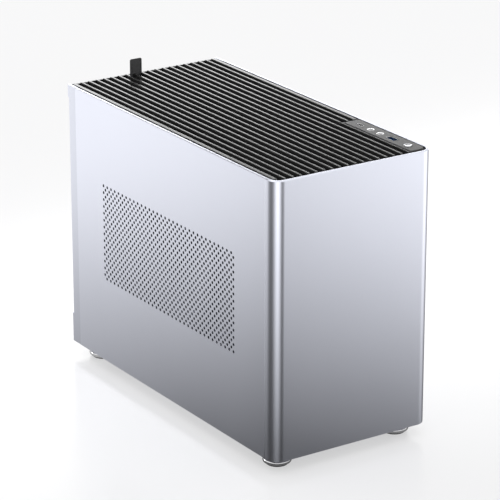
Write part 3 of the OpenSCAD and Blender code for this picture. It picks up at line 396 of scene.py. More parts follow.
def inset(outline, distance):
    """An anticlockwise outline moved inwards by a distance, its corners kept sharp."""
    moved = []
    count = len(outline)
    for i, point in enumerate(outline):
        before = Vector(point) - Vector(outline[i - 1])
        after = Vector(outline[(i + 1) % count]) - Vector(point)
        before.normalize()
        after.normalize()
        lean = Vector((-before.y - after.y, before.x + after.x))
        size = max(lean.dot(lean), 0.2)
        moved.append(tuple(Vector(point) + lean * (2 * distance / size)))
    return moved


def within(x, y, loops):
    """Whether a point lies inside the first loop and outside the others, by counting crossings."""
    odd = False
    for loop in loops:
        for (x0, y0), (x1, y1) in zip(loop, loop[1:] + loop[:1]):
            if (y0 > y) != (y1 > y) and x < x0 + (y - y0) * (x1 - x0) / (y1 - y0):
                odd = not odd
    return odd


def sheet_faces(bm, loops, level, place, kind=0):
    """Fills the area inside the first loop and outside the others. Returns each loop's points."""
    flat = [Vector(point) for loop in loops for point in loop]
    edges, start = [], 0
    for loop in loops:
        edges += [(start + i, start + (i + 1) % len(loop)) for i in range(len(loop))]
        start += len(loop)
    points, _, faces, *_ = delaunay_2d_cdt(flat, edges, [], 0, TIGHT / 100)
    made = [bm.verts.new(place(p.x, p.y, level)) for p in points]
    for face in faces:
        middle = sum((points[i] for i in face), Vector((0, 0))) / len(face)
        if within(middle.x, middle.y, loops):
            bm.faces.new([made[i] for i in face]).material_index = kind
    rows, start = [], 0
    for loop in loops:
        rows.append(made[start:start + len(loop)])
        start += len(loop)
    return rows


def flat_xy(u, v, w):
    return (u, v, w)


def plate(bm, outline, holes, bottom, top, place=flat_xy, edge=0.0, hole_edge=0.0, edge_kind=0):
    """A plate with through holes, and cut edges along its top."""
    loops = [outline] + [list(reversed(hole)) for hole in holes]
    steps = [edge] + [hole_edge] * len(holes)
    under = sheet_faces(bm, loops, bottom, place)
    upper = [inset(loop, step) if step else loop for loop, step in zip(loops, steps)]
    over = sheet_faces(bm, upper, top, place)
    for row, loop, step, crown in zip(under, loops, steps, over):
        if step:
            brow = [bm.verts.new(place(u, v, top - step)) for u, v in loop]
            bridge(bm, row, brow)
            bridge(bm, brow, crown, edge_kind)
        else:
            bridge(bm, row, crown)


def lathe(bm, profile, place, steps=48, kinds=None):
    """A solid turned round an axis. The profile is (radius, height) pairs from axis to axis, or a ring."""
    rows = []
    for radius, height in profile:
        if radius < TIGHT:
            rows.append([bm.verts.new(place(0.0, 0.0, height))])
        else:
            rows.append([bm.verts.new(place(u, v, height)) for u, v in circle(0, 0, radius, steps)])
    pairs = list(zip(rows, rows[1:] if len(rows[0]) == 1 else rows[1:] + rows[:1]))
    for index, (first, second) in enumerate(pairs):
        kind = kinds[index] if kinds else 0
        if len(first) == 1 or len(second) == 1:
            tip, ring = (first[0], second) if len(first) == 1 else (second[0], first)
            for i in range(steps):
                bm.faces.new((tip, ring[i], ring[(i + 1) % steps])).material_index = kind
        else:
            bridge(bm, first, second, kind)


def placed(origin, axis=(0, 0, 1), turn=0.0):
    """A function that stands local (u, v, w) points along an axis at an origin."""
    matrix = (Matrix.Translation(origin) @ Vector(axis).to_track_quat("Z", "Y").to_matrix().to_4x4()
              @ Matrix.Rotation(turn, 4, "Z"))
    return lambda u, v, w: matrix @ Vector((u, v, w))


def smooth_path(points, steps=6):
    """A smooth line through a list of points."""
    points = [Vector(p) for p in points]
    ends = [points[0] * 2 - points[1]] + points + [points[-1] * 2 - points[-2]]
    line = []
    for a, b, c, d in zip(ends, ends[1:], ends[2:], ends[3:]):
        for i in range(steps):
            t = i / steps
            line.append(0.5 * (2 * b + (c - a) * t + (2 * a - 5 * b + 4 * c - d) * t * t
                               + (3 * b - a - 3 * c + d) * t * t * t))
    return line + [points[-1]]


def tube(bm, line, radius, sides=12):
    """A round tube along a line, with closed ends."""
    rows, across = [], None
    for i, point in enumerate(line):
        ahead = (line[min(i + 1, len(line) - 1)] - line[max(i - 1, 0)]).normalized()
        if across is None:
            across = ahead.orthogonal().normalized()
        across = (across - ahead * across.dot(ahead)).normalized()
        other = ahead.cross(across)
        rows.append([bm.verts.new(point + radius * (u * across + v * other))
                     for u, v in circle(0, 0, 1, sides)])
    for first, second in zip(rows, rows[1:]):
        bridge(bm, first, second)
    bm.faces.new(rows[0])
    bm.faces.new(list(reversed(rows[-1])))


def mesh_object(name, bm, finishes, outward=True):
    """Welds a mesh, turns its faces outwards and makes it an object."""
    bmesh.ops.remove_doubles(bm, verts=bm.verts, dist=TIGHT)
    if outward:
        bmesh.ops.recalc_face_normals(bm, faces=bm.faces)
    mesh = bpy.data.meshes.new(name)
    bm.to_mesh(mesh)
    bm.free()
    mesh.materials.clear()
    for finish in finishes:
        mesh.materials.append(finish)
    made = bpy.data.objects.new(name, mesh)
    bpy.context.scene.collection.objects.link(made)
    return made


def applied(made):
    """Makes an object's modifiers part of its mesh."""
    graph = bpy.context.evaluated_depsgraph_get()
    mesh = bpy.data.meshes.new_from_object(made.evaluated_get(graph), preserve_all_data_layers=True,
                                           depsgraph=graph)
    made.modifiers.clear()
    made.data = mesh
    return made


def eased(made, width, segments=2, edge_finish=-1, sharp=32):
    """Rounds an object's sharp edges and shades it smooth between the flats."""
    if width:
        bevel = made.modifiers.new("edges", "BEVEL")
        bevel.width = width
        bevel.segments = segments
        bevel.limit_method = "ANGLE"
        bevel.angle_limit = math.radians(sharp)
        bevel.material = edge_finish
        bevel.miter_outer = "MITER_ARC"
        applied(made)
    for polygon in made.data.polygons:
        polygon.use_smooth = True
    made.data.set_sharp_from_angle(angle=math.radians(46 if width else sharp))
    made.modifiers.new("normals", "WEIGHTED_NORMAL").keep_sharp = True
    return applied(made)


def settle(made, *nodes, body=None, slot=None):
    """Rides a piece on its body in place of its CAD nodes."""
    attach(made, body or node_body[nodes[0]])
    if nodes:
        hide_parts(*nodes)
    slot or node_slot[nodes[0]]
    return made


def softened(node, finish, width=0.0003, segments=2, name=None, finishes=(), edge_finish=-1):
    """A copy of a CAD node with welded faces and eased edges."""
    bm = bmesh.new()
    bm.from_mesh(frame["nodes"][node].data)
    bmesh.ops.remove_doubles(bm, verts=bm.verts, dist=TIGHT)
    bmesh.ops.dissolve_limit(bm, angle_limit=math.radians(0.5), verts=bm.verts, edges=bm.edges)
    made = mesh_object(name or node + "_piece", bm, [finish, *finishes], outward=False)
    eased(made, width, segments, edge_finish)
    return settle(made, node)


# --- Geometry trees -----------------------------------------------------------------------

def geometry_tree(name, inputs):
    tree = bpy.data.node_groups.new(name, "GeometryNodeTree")
    tree.interface.new_socket(name="Geometry", in_out="INPUT", socket_type="NodeSocketGeometry")
    for label, kind in inputs + [("Finish", "Material")]:
        tree.interface.new_socket(name=label, in_out="INPUT", socket_type="NodeSocket" + kind)
    tree.interface.new_socket(name="Geometry", in_out="OUTPUT", socket_type="NodeSocketGeometry")
    return tree, tree.nodes.new("NodeGroupInput").outputs


def end_tree(tree, given, geometry):
    real = add(tree, "GeometryNodeRealizeInstances", {"Geometry": geometry})
    done = add(tree, "GeometryNodeSetMaterial",
               {"Geometry": real.outputs[0], "Material": given["Finish"]})
    tree.links.new(done.outputs[0], tree.nodes.new("NodeGroupOutput").inputs[0])
    return tree


def grow(tree, values, base=None):
    """Runs a geometry tree on a base mesh and returns the plain mesh that it makes."""
    holder = bpy.data.objects.new("holder", base or bpy.data.meshes.new("empty"))
    bpy.context.scene.collection.objects.link(holder)
    modifier = holder.modifiers.new("tree", "NODES")
    modifier.node_group = tree
    for item in tree.interface.items_tree:
        if item.in_out == "INPUT" and item.name in values:
            modifier[item.identifier] = values[item.name]
    graph = bpy.context.evaluated_depsgraph_get()
    mesh = bpy.data.meshes.new_from_object(holder.evaluated_get(graph), depsgraph=graph)
    bpy.data.objects.remove(holder)
    return mesh


def build_vent_tree():
    """A flat sheet with a staggered field of round holes, its corner at the origin."""
    tree, given = geometry_tree("Vented Sheet", [
        ("Columns", "Int"), ("Rows", "Int"), ("Pitch", "Float"), ("Hole", "Float"),
        ("First Column", "Float"), ("First Row", "Float"),
        ("Width", "Float"), ("Height", "Float"), ("Thickness", "Float"), ("Sides", "Int"),
        ("Painted Bore Shade", "Material")])
    half_rows = calc(tree, "DIVIDE", given["Rows"], 2.0)
    span_x = calc(tree, "MULTIPLY", calc(tree, "SUBTRACT", given["Columns"], 1.0), given["Pitch"])
    span_y = calc(tree, "MULTIPLY", calc(tree, "SUBTRACT", given["Rows"], 2.0), given["Pitch"])
    grid = add(tree, "GeometryNodeMeshGrid", {"Size X": span_x, "Size Y": span_y,
                                              "Vertices X": given["Columns"], "Vertices Y": half_rows})
    column = calc(tree, "FLOOR", calc(tree, "DIVIDE", tree.nodes.new("GeometryNodeInputIndex").outputs[0],
                                      half_rows))
    stagger = calc(tree, "MULTIPLY", calc(tree, "MODULO", column, 2.0), given["Pitch"])
    start_x = calc(tree, "ADD", given["First Column"], calc(tree, "DIVIDE", span_x, 2.0))
    start_y = calc(tree, "ADD", given["First Row"],
                   calc(tree, "ADD", stagger, calc(tree, "DIVIDE", span_y, 2.0)))
    spots = add(tree, "GeometryNodeSetPosition",
                {"Geometry": grid.outputs[0], "Offset": join_xyz(tree, start_x, start_y)})
    ring = add(tree, "GeometryNodeCurvePrimitiveCircle",
               {"Resolution": given["Sides"], "Radius": calc(tree, "DIVIDE", given["Hole"], 2.0)})
    rings = add(tree, "GeometryNodeInstanceOnPoints",
                {"Points": spots.outputs[0], "Instance": ring.outputs[0]})
    rings = add(tree, "GeometryNodeRealizeInstances", {"Geometry": rings.outputs[0]})
    outline = add(tree, "GeometryNodeCurvePrimitiveQuadrilateral",
                  {"Width": given["Width"], "Height": given["Height"]})
    centre = join_xyz(tree, calc(tree, "DIVIDE", given["Width"], 2.0),
                      calc(tree, "DIVIDE", given["Height"], 2.0))
    outline = add(tree, "GeometryNodeSetPosition", {"Geometry": outline.outputs[0], "Offset": centre})
    loops = tree.nodes.new("GeometryNodeJoinGeometry")
    tree.links.new(outline.outputs[0], loops.inputs[0])
    tree.links.new(rings.outputs[0], loops.inputs[0])
    face = add(tree, "GeometryNodeFillCurve", {"Curve": loops.outputs[0]})
    walls = add(tree, "GeometryNodeExtrudeMesh", {"Mesh": face.outputs[0], "Individual": False,
                                                  "Offset Scale": given["Thickness"]})
    under = add(tree, "GeometryNodeFlipFaces", {"Mesh": face.outputs[0]})
    solid = tree.nodes.new("GeometryNodeJoinGeometry")
    tree.links.new(walls.outputs[0], solid.inputs[0])
    tree.links.new(under.outputs[0], solid.inputs[0])
    welded = add(tree, "GeometryNodeMergeByDistance", {"Geometry": solid.outputs[0], "Distance": TIGHT})
    faced = add(tree, "GeometryNodeSetMaterial",
                {"Geometry": welded.outputs[0], "Material": given["Finish"]})
    # The hole walls take the bore material, a dark colour: painted shade in the bores.
    bored = add(tree, "GeometryNodeSetMaterial",
                {"Geometry": faced.outputs[0], "Selection": walls.outputs["Side"],
                 "Material": given["Painted Bore Shade"]})
    real = add(tree, "GeometryNodeRealizeInstances", {"Geometry": bored.outputs[0]})
    tree.links.new(real.outputs[0], tree.nodes.new("NodeGroupOutput").inputs[0])
    return tree


def build_slat_tree():
    """Bars with eased edges along the base mesh's edges, their ends sloping down."""
    tree, given = geometry_tree("Slats", [
        ("Width", "Float"), ("Depth", "Float"), ("Edge Radius", "Float"), ("End Drop", "Float")])
    line = add(tree, "GeometryNodeMeshToCurve", {"Mesh": given["Geometry"]})
    line = add(tree, "GeometryNodeSetCurveNormal", {"Curve": line.outputs[0]}, mode="Z_UP")
    section = add(tree, "GeometryNodeCurvePrimitiveQuadrilateral",
                  {"Width": given["Width"], "Height": given["Depth"]})
    section = add(tree, "GeometryNodeFilletCurve",
                  {"Curve": section.outputs[0], "Radius": given["Edge Radius"], "Count": 3}, mode="POLY")
    bars = add(tree, "GeometryNodeCurveToMesh", {"Curve": line.outputs[0],
                                                 "Profile Curve": section.outputs[0], "Fill Caps": True})
    tip = add(tree, "GeometryNodeInputNamedAttribute", {"Name": "tip"}, data_type="FLOAT").outputs[0]
    place = tree.nodes.new("GeometryNodeInputPosition").outputs[0]
    above = calc(tree, "GREATER_THAN", add(tree, "ShaderNodeSeparateXYZ", {0: place}).outputs[2], 0.0)
    drop = calc(tree, "MULTIPLY", calc(tree, "MULTIPLY", tip, above),
                calc(tree, "MULTIPLY", given["End Drop"], -1.0))
    shaped = add(tree, "GeometryNodeSetPosition",
                 {"Geometry": bars.outputs[0], "Offset": join_xyz(tree, z=drop)})
    return end_tree(tree, given, shaped.outputs[0])


def build_copy_tree():
    """A copy of an object on each point of the base mesh, turned at random about its own axis."""
    tree, given = geometry_tree("Copies on Points", [
        ("Copy", "Object"), ("Turn", "Vector"), ("Spin", "Float"), ("Seed", "Int")])
    source = add(tree, "GeometryNodeObjectInfo", {"Object": given["Copy"]})
    copies = add(tree, "GeometryNodeInstanceOnPoints",
                 {"Points": given["Geometry"], "Instance": source.outputs["Geometry"],
                  "Rotation": given["Turn"]})
    chance = add(tree, "FunctionNodeRandomValue", {"Seed": given["Seed"]}, data_type="FLOAT").outputs[1]
    spin = join_xyz(tree, z=calc(tree, "MULTIPLY", chance, given["Spin"]))
    copies = add(tree, "GeometryNodeRotateInstances", {"Instances": copies.outputs[0], "Rotation": spin})
    return end_tree(tree, given, copies.outputs[0])


def build_ring_tree():
    """Copies of an object set evenly round the Z axis."""
    tree, given = geometry_tree("Ring of Copies", [("Copy", "Object"), ("Count", "Int")])
    source = add(tree, "GeometryNodeObjectInfo", {"Object": given["Copy"]})
    points = add(tree, "GeometryNodePoints", {"Count": given["Count"]})
    index = tree.nodes.new("GeometryNodeInputIndex").outputs[0]
    turn = calc(tree, "DIVIDE", calc(tree, "MULTIPLY", index, 2 * math.pi), given["Count"])
    copies = add(tree, "GeometryNodeInstanceOnPoints",
                 {"Points": points.outputs[0], "Instance": source.outputs["Geometry"],
                  "Rotation": join_xyz(tree, z=turn)})
    return end_tree(tree, given, copies.outputs[0])


def build_scatter_tree():
    """Small parts of mixed sizes strewn over a face of the base mesh."""
    tree, given = geometry_tree("Strewn Parts", [
        ("Copy", "Object"), ("Gap", "Float"), ("Density", "Float"), ("Seed", "Int"),
        ("Smallest", "Vector"), ("Largest", "Vector"), ("Turn", "Vector")])
    source = add(tree, "GeometryNodeObjectInfo", {"Object": given["Copy"]})
    spots = add(tree, "GeometryNodeDistributePointsOnFaces",
                {"Mesh": given["Geometry"], "Distance Min": given["Gap"],
                 "Density Max": given["Density"], "Seed": given["Seed"]},
                distribute_method="POISSON")
    size = add(tree, "FunctionNodeRandomValue",
               {"Min": given["Smallest"], "Max": given["Largest"], "Seed": given["Seed"]},
               data_type="FLOAT_VECTOR").outputs[0]
    copies = add(tree, "GeometryNodeInstanceOnPoints",
                 {"Points": spots.outputs[0], "Instance": source.outputs["Geometry"],
                  "Rotation": given["Turn"], "Scale": size})
    return end_tree(tree, given, copies.outputs[0])


VENTS = build_vent_tree()
SLATS = build_slat_tree()
COPIES = build_copy_tree()
RING = build_ring_tree()
SCATTER = build_scatter_tree()


def points_mesh(points):
    mesh = bpy.data.meshes.new("points")
    mesh.from_pydata([tuple(p) for p in points], [], [])
    return mesh


# --- Shell --------------------------------------------------------------------------------

def shell_line(depth, rear):
    """The front shell's plan from its left rear end round to its right one, moved in by a depth."""
    x, radius = side_x - depth, CORNER - depth
    centre_y = front_y + CORNER
    left = arc(-side_x + CORNER, centre_y, radius, 180, 270, 14)
    right = arc(side_x - CORNER, centre_y, radius, 270, 360, 14)
    return [(-x, rear)] + left + right + [(x, rear)]


def front_shell():
    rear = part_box("front_panel")[1].y
    top_cut, small = CUT_EDGE, 0.0002
    profile = [(small, base_z), (0, base_z + small), (0, top_z - top_cut), (top_cut, top_z),
               (WALL - small, top_z), (WALL, top_z - small), (WALL, base_z + small),
               (WALL - small, base_z)]
    bm = bmesh.new()
    rows = [[bm.verts.new((x, y, z)) for x, y in shell_line(depth, rear)] for depth, z in profile]
    for index, (first, second) in enumerate(zip(rows, rows[1:] + rows[:1])):
        bridge(bm, first, second, 1 if index in (2, 3) else 0, closed=False)
    for end in (0, -1):
        bm.faces.new([row[end] for row in rows])
    lip = shell_line(WALL, front_y + CORNER)[1:-1]
    floor_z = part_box("bottom_panel")[0].z
    plate(bm, lip, [], floor_z, floor_top)
    made = mesh_object("front_shell", bm, [SILVER, CUT_SILVER])
    eased(made, 0)
    return settle(made, "front_panel")


def framed_edge(bm, x0, y0, x1, y1, place, thickness, margin, cut):
    """The solid border round a vented sheet, with a cut edge on its outer face."""
    steps = [(margin, thickness), (cut, thickness), (0, thickness - cut), (0, 0.0002), (0.0002, 0),
             (margin, 0)]
    rows = []
    for depth, level in steps:
        corners = ((x0 + depth, y0 + depth), (x1 - depth, y0 + depth),
                   (x1 - depth, y1 - depth), (x0 + depth, y1 - depth))
        rows.append([bm.verts.new(place(u, v, level)) for u, v in corners])
    for index, (first, second) in enumerate(zip(rows, rows[1:])):
        bridge(bm, first, second, 1 if index == 1 else 0)


def side_cover(side, name, node, studs):
    """One vented side panel. Its outer face looks along side * X."""
    margin = 0.003
    # The holes' walls get VENT_SHADE: painted shade in the bores.
    holes = grow(VENTS, {
        "Columns": VENT_COLUMNS, "Rows": VENT_ROWS, "Pitch": VENT_PITCH, "Hole": VENT_HOLE,
        "First Column": back_y - VENT_FROM_REAR - (VENT_COLUMNS - 1) * VENT_PITCH - panel_y0 - margin,
        "First Row": top_z - VENT_FROM_TOP - (VENT_ROWS - 1) * VENT_PITCH - base_z - margin,
        "Width": panel_y1 - panel_y0 - 2 * margin, "Height": top_z - base_z - 2 * margin,
        "Thickness": WALL, "Sides": 12, "Finish": SILVER, "Painted Bore Shade": VENT_SHADE})

    def place(u, v, w):
        return Vector((side * (inner_x + w), u, v))

    order = [material.name if material else "" for material in holes.materials]
    bm = bmesh.new()
    bm.from_mesh(holes)
    width, height = panel_y1 - panel_y0 - 2 * margin, top_z - base_z - 2 * margin
    outer = []
    for face in bm.faces:
        # Index 2 is the dark bore colour: painted shade on the hole walls.
        face.material_index = 2 if order[face.material_index] == VENT_SHADE.name else 0
        spans = [{round(vert.co[axis], 6) for vert in face.verts} for axis in (0, 1)]
        if spans[0] in ({0.0}, {round(width, 6)}) or spans[1] in ({0.0}, {round(height, 6)}):
            outer.append(face)
    bmesh.ops.delete(bm, geom=outer, context="FACES_ONLY")
    for vert in bm.verts:
        vert.co = place(panel_y0 + margin + vert.co.x, base_z + margin + vert.co.y, vert.co.z)
    framed_edge(bm, panel_y0, base_z, panel_y1, top_z, place, WALL, margin, 0.0006)
    made = mesh_object(name, bm, [SILVER, CUT_SILVER, VENT_SHADE])
    settle(eased(made, 0), node)
    softened(studs, NICKEL, 0.0003)


def slat_runs():
    """Each slat of the lid as (x, front end, rear end, width)."""
    strip_x0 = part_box("strip_plate")[0].x
    strip_y1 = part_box("strip_plate")[1].y
    front = front_y + WALL + SEAM + 0.0016
    rear = back_y - 0.0016
    pitch = (2 * side_x - 2 * RAIL_IN) / (SLAT_COUNT - 1)
    room_x, room_y = strip_x0 - 0.0014, strip_y1 + 0.0014
    tab_low, tab_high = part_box("pull_tab")
    runs = []
    for i in range(SLAT_COUNT):
        x = -side_x + RAIL_IN + i * pitch
        width = RAIL_WIDTH if i in (0, SLAT_COUNT - 1) else SLAT_WIDTH
        start = front + (0.0032 if i == 0 else 0.0)
        end = rear
        if tab_low.x - width / 2 < x < tab_high.x + width / 2:
            end = tab_low.y - 0.0003
        if x + width / 2 <= room_x:
            runs.append((x, start, end, width))
            continue
        runs.append((x, room_y, end, width))
        left = x - width / 2
        if left < room_x:
            runs.append(((left + room_x) / 2, start, room_y, room_x - left))
    return runs


def slat_lines(runs, level):
    """Four points along each slat, the two end ones marked as tips."""
    tip = 0.0012
    points, edges = [], []
    for x, start, end, _ in runs:
        first = len(points)
        points += [(x, y, level) for y in (start, start + tip, end - tip, end)]
        edges += [(first, first + 1), (first + 1, first + 2), (first + 2, first + 3)]
    mesh = bpy.data.meshes.new("slat_lines")
    mesh.from_pydata(points, edges, [])
    marks = mesh.attributes.new("tip", "FLOAT", "POINT")
    marks.data.foreach_set("value", [1.0, 0.0, 0.0, 1.0] * len(runs))
    return mesh


def lid_outline():
    """Anticlockwise plan of the lid, with the room it leaves for the control strip."""
    edge = WALL + SEAM
    radius = CORNER - edge
    x_side = side_x - 0.0006 - WALL - SEAM
    x_front, y_front = side_x - edge, front_y + edge
    strip_x0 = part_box("strip_plate")[0].x - 0.0006
    strip_y1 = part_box("strip_plate")[1].y + 0.0006
    corner = [(x, y) for x, y in arc(-x_front + radius, y_front + radius, radius, 180, 270, 12)
              if x >= -x_side]
    return ([(-x_side, back_y), (-x_side, y_front + radius * 0.62)] + corner
            + [(strip_x0, y_front), (strip_x0, strip_y1), (x_side, strip_y1), (x_side, back_y)])


def slatted_lid():
    lid_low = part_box("top_cover")[0].z
    runs = slat_runs()
    depth = top_z - lid_low - 0.002
    bm = bmesh.new()
    for width in sorted({round(run[3], 6) for run in runs}):
        chosen = [run for run in runs if round(run[3], 6) == width]
        bars = grow(SLATS, {"Width": width, "Depth": depth, "Edge Radius": 0.00045,
                            "End Drop": 0.0011, "Finish": LID_BLACK}, slat_lines(chosen, 0.0))
        for vert in bars.vertices:
            vert.co.z += top_z - depth / 2
        bm.from_mesh(bars)
    made = mesh_object("slatted_lid_bars", bm, [LID_BLACK, LID_SHADE])
    for polygon in made.data.polygons:
        polygon.material_index = 0 if polygon.normal.z > 0.5 else 1
    eased(made, 0)
    bars = made.data

    outline = lid_outline()
    border = bmesh.new()
    plate(border, outline, [inset(outline, LID_BORDER)], lid_low, top_z - BORDER_DROP)
    inner = inset(outline, 0.001)
    x0, x1 = inner[0][0], inner[-1][0]
    strip_x0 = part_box("strip_plate")[0].x - 0.0016
    bar, parts = 0.004, 5
    cross = [front_y + i * 2 * back_y / parts for i in range(1, parts)]
    spans = [(y, y + bar) for y in cross]
    stud_low, stud_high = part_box("top_cover_studs")
    spans += [(stud_low.y + 0.0024 - 0.006, stud_low.y + 0.0024 + 0.006),
              (stud_high.y - 0.0024 - 0.006, stud_high.y - 0.0024 + 0.006)]
    strip_y1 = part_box("strip_plate")[1].y
    for y0, y1 in spans:
        right = x1 if y0 > strip_y1 else strip_x0
        block(border, (x0, y0, lid_low), (right, y1, lid_low + 0.0025))
    made_border = mesh_object("slatted_lid", border, [LID_BLACK, LID_SHADE])
    eased(made_border, 0.00035, 2)
    for polygon in made_border.data.polygons:
        polygon.material_index = 0 if polygon.normal.z > 0.5 and polygon.center.z > lid_low + 0.004 else 1
    bm = bmesh.new()
    bm.from_mesh(made_border.data)
    bm.from_mesh(bars)
    bm.to_mesh(made_border.data)
    bm.free()
    bpy.data.objects.remove(made)
    settle(made_border, "top_cover")
    softened("top_cover_studs", NICKEL, 0.0004)
    softened("dust_screen", SCREEN, 0.0002, 1)


def pull_strap():
    """Flat webbing tab with a bound edge and a row of stitches along it."""
    tab_low, tab_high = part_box("pull_tab")
    thick = tab_high.y - tab_low.y
    outline = rounded_box(tab_low.x, tab_low.z, tab_high.x, tab_high.z, 0.0016, 6)
    bm = bmesh.new()
    middle = (tab_low.y + tab_high.y) / 2
    for sign in (-1, 1):
        rows = [[bm.verts.new((x, middle + sign * thick * w, z)) for x, z in inset(outline, d)]
                for d, w in ((0.0, 0.25), (0.00012, 0.42), (0.0004, 0.5), (0.0009, 0.44), (0.0012, 0.36))]
        for index, (first, second) in enumerate(zip(rows, rows[1:])):
            bridge(bm, first, second, 1 if index < 3 else 0)
        bm.faces.new(rows[-1])
    made = mesh_object("pull_strap", bm, [TAB_CLOTH, TAB_EDGE])
    eased(made, 0, sharp=60)
    settle(made, "pull_tab")

    stitch = bmesh.new()
    length, radius = 0.0012, 0.00016
    tube(stitch, smooth_path([(0, 0, -length / 2), (0, -radius * 1.2, 0), (0, 0, length / 2)], 3), radius, 6)
    one = mesh_object("one_stitch", stitch, [TAB_EDGE])
    spots = []
    line = inset(outline, 0.002)
    up = [p for p in range(int((tab_high.z - tab_low.z - 0.006) / 0.0018))]
    for x in (line[0][0] + 0.0004, tab_low.x + 0.002):
        for i in up:
            for y in (tab_low.y + thick * 0.12, tab_high.y - thick * 0.12):
                spots.append((x, y, tab_low.z + 0.003 + i * 0.0018))
    threads = grow(COPIES, {"Copy": one, "Turn": (0, 0, 0), "Spin": 0.0, "Seed": 1, "Finish": TAB_EDGE},
                   points_mesh(spots))
    bpy.data.objects.remove(one)
    bm = bmesh.new()
    bm.from_mesh(threads)
    made = mesh_object("pull_strap_stitches", bm, [TAB_EDGE])
    eased(made, 0)
    settle(made, body="lid", slot=node_slot["pull_tab"])


# --- Control strip ------------------------------------------------------------------------

def strip_cover():
    """Satin plate with a bright cut edge and its port openings."""
    plate_low, plate_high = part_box("strip_plate")
    x0, y0, x1, y1 = plate_low.x, plate_low.y, plate_high.x, plate_high.y
    radius = CORNER - WALL - 0.001
    outline = [(x0, y1), (x0, y0)] + arc(x1 - radius, y0 + radius, radius, 270, 360, 12) + [(x1, y1)]
    jack_low, jack_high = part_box("audio_jacks")
    jack_r = (jack_high.x - jack_low.x) / 2
    usb_a_low, usb_a_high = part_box("usb_a_port")
    usb_c_low, usb_c_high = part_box("usb_c_port")
    key_r = (key_high.x - key_low.x) / 2
    port_x = (jack_low.x + jack_high.x) / 2
    gap = 0.0002
    holes = [circle(key_centre.x, key_centre.y, key_r + gap, 40)]
    holes += [circle(port_x, y, jack_r + gap, 32) for y in (jack_low.y + jack_r, jack_high.y - jack_r)]
    holes.append(rounded_box(usb_a_low.x - gap, usb_a_low.y - gap, usb_a_high.x + gap,
                             usb_a_high.y + gap, 0.0005, 3))
    holes.append(rounded_box(usb_c_low.x - gap, usb_c_low.y - gap, usb_c_high.x + gap,
                             usb_c_high.y + gap, (usb_c_high.x - usb_c_low.x) / 2, 6))
    bm = bmesh.new()
    plate(bm, outline, holes, plate_low.z, plate_high.z, edge=STRIP_BEVEL, hole_edge=0.00015,
          edge_kind=1)
    made = mesh_object("strip_cover", bm, [STRIP_BLACK, CUT_BLACK])
    eased(made, 0)
    settle(made, "strip_plate")


def power_key():
    """Turned key with a dished top and a fine groove near its rim."""
    radius = (key_high.x - key_low.x) / 2
    top = key_high.z
    base = top - 0.005
    profile = [(0, top - 0.00025), (radius * 0.45, top - 0.00018), (radius * 0.72, top - 0.00002),
               (radius * 0.76, top - 0.0003), (radius * 0.80, top - 0.0003), (radius * 0.84, top),
               (radius - 0.0004, top), (radius - 0.0001, top - 0.00015), (radius, top - 0.0005),
               (radius, base + 0.0002), (radius - 0.0002, base), (0.0015, base),
               (0.0015, key_low.z + 0.0002), (0.0013, key_low.z), (0, key_low.z)]
    bm = bmesh.new()
    lathe(bm, profile, placed((key_centre.x, key_centre.y, 0)), 56)
    made = mesh_object("power_key_cap", bm, [KEY_METAL])
    eased(made, 0)
    settle(made, "power_button")

    spring_low, spring_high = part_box("button_spring")
    coil_r, turns, per_turn = 0.0023, 4, 18
    wire_r = 0.0003
    z0, z1 = spring_low.z + wire_r, spring_high.z - wire_r
    line = []
    for i in range(turns * per_turn + 1):
        share = i / (turns * per_turn)
        angle = 2 * math.pi * turns * share
        line.append(Vector((key_centre.x + coil_r * math.cos(angle),
                            key_centre.y + coil_r * math.sin(angle),
                            z0 + (z1 - z0) * min(max(share * 1.3 - 0.15, 0), 1))))
    bm = bmesh.new()
    tube(bm, line, wire_r, 8)
    made = mesh_object("key_spring", bm, [NICKEL])
    eased(made, 0)
    settle(made, "button_spring")
    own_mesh(made)
    softened("power_switch", PLASTIC, 0.0002)


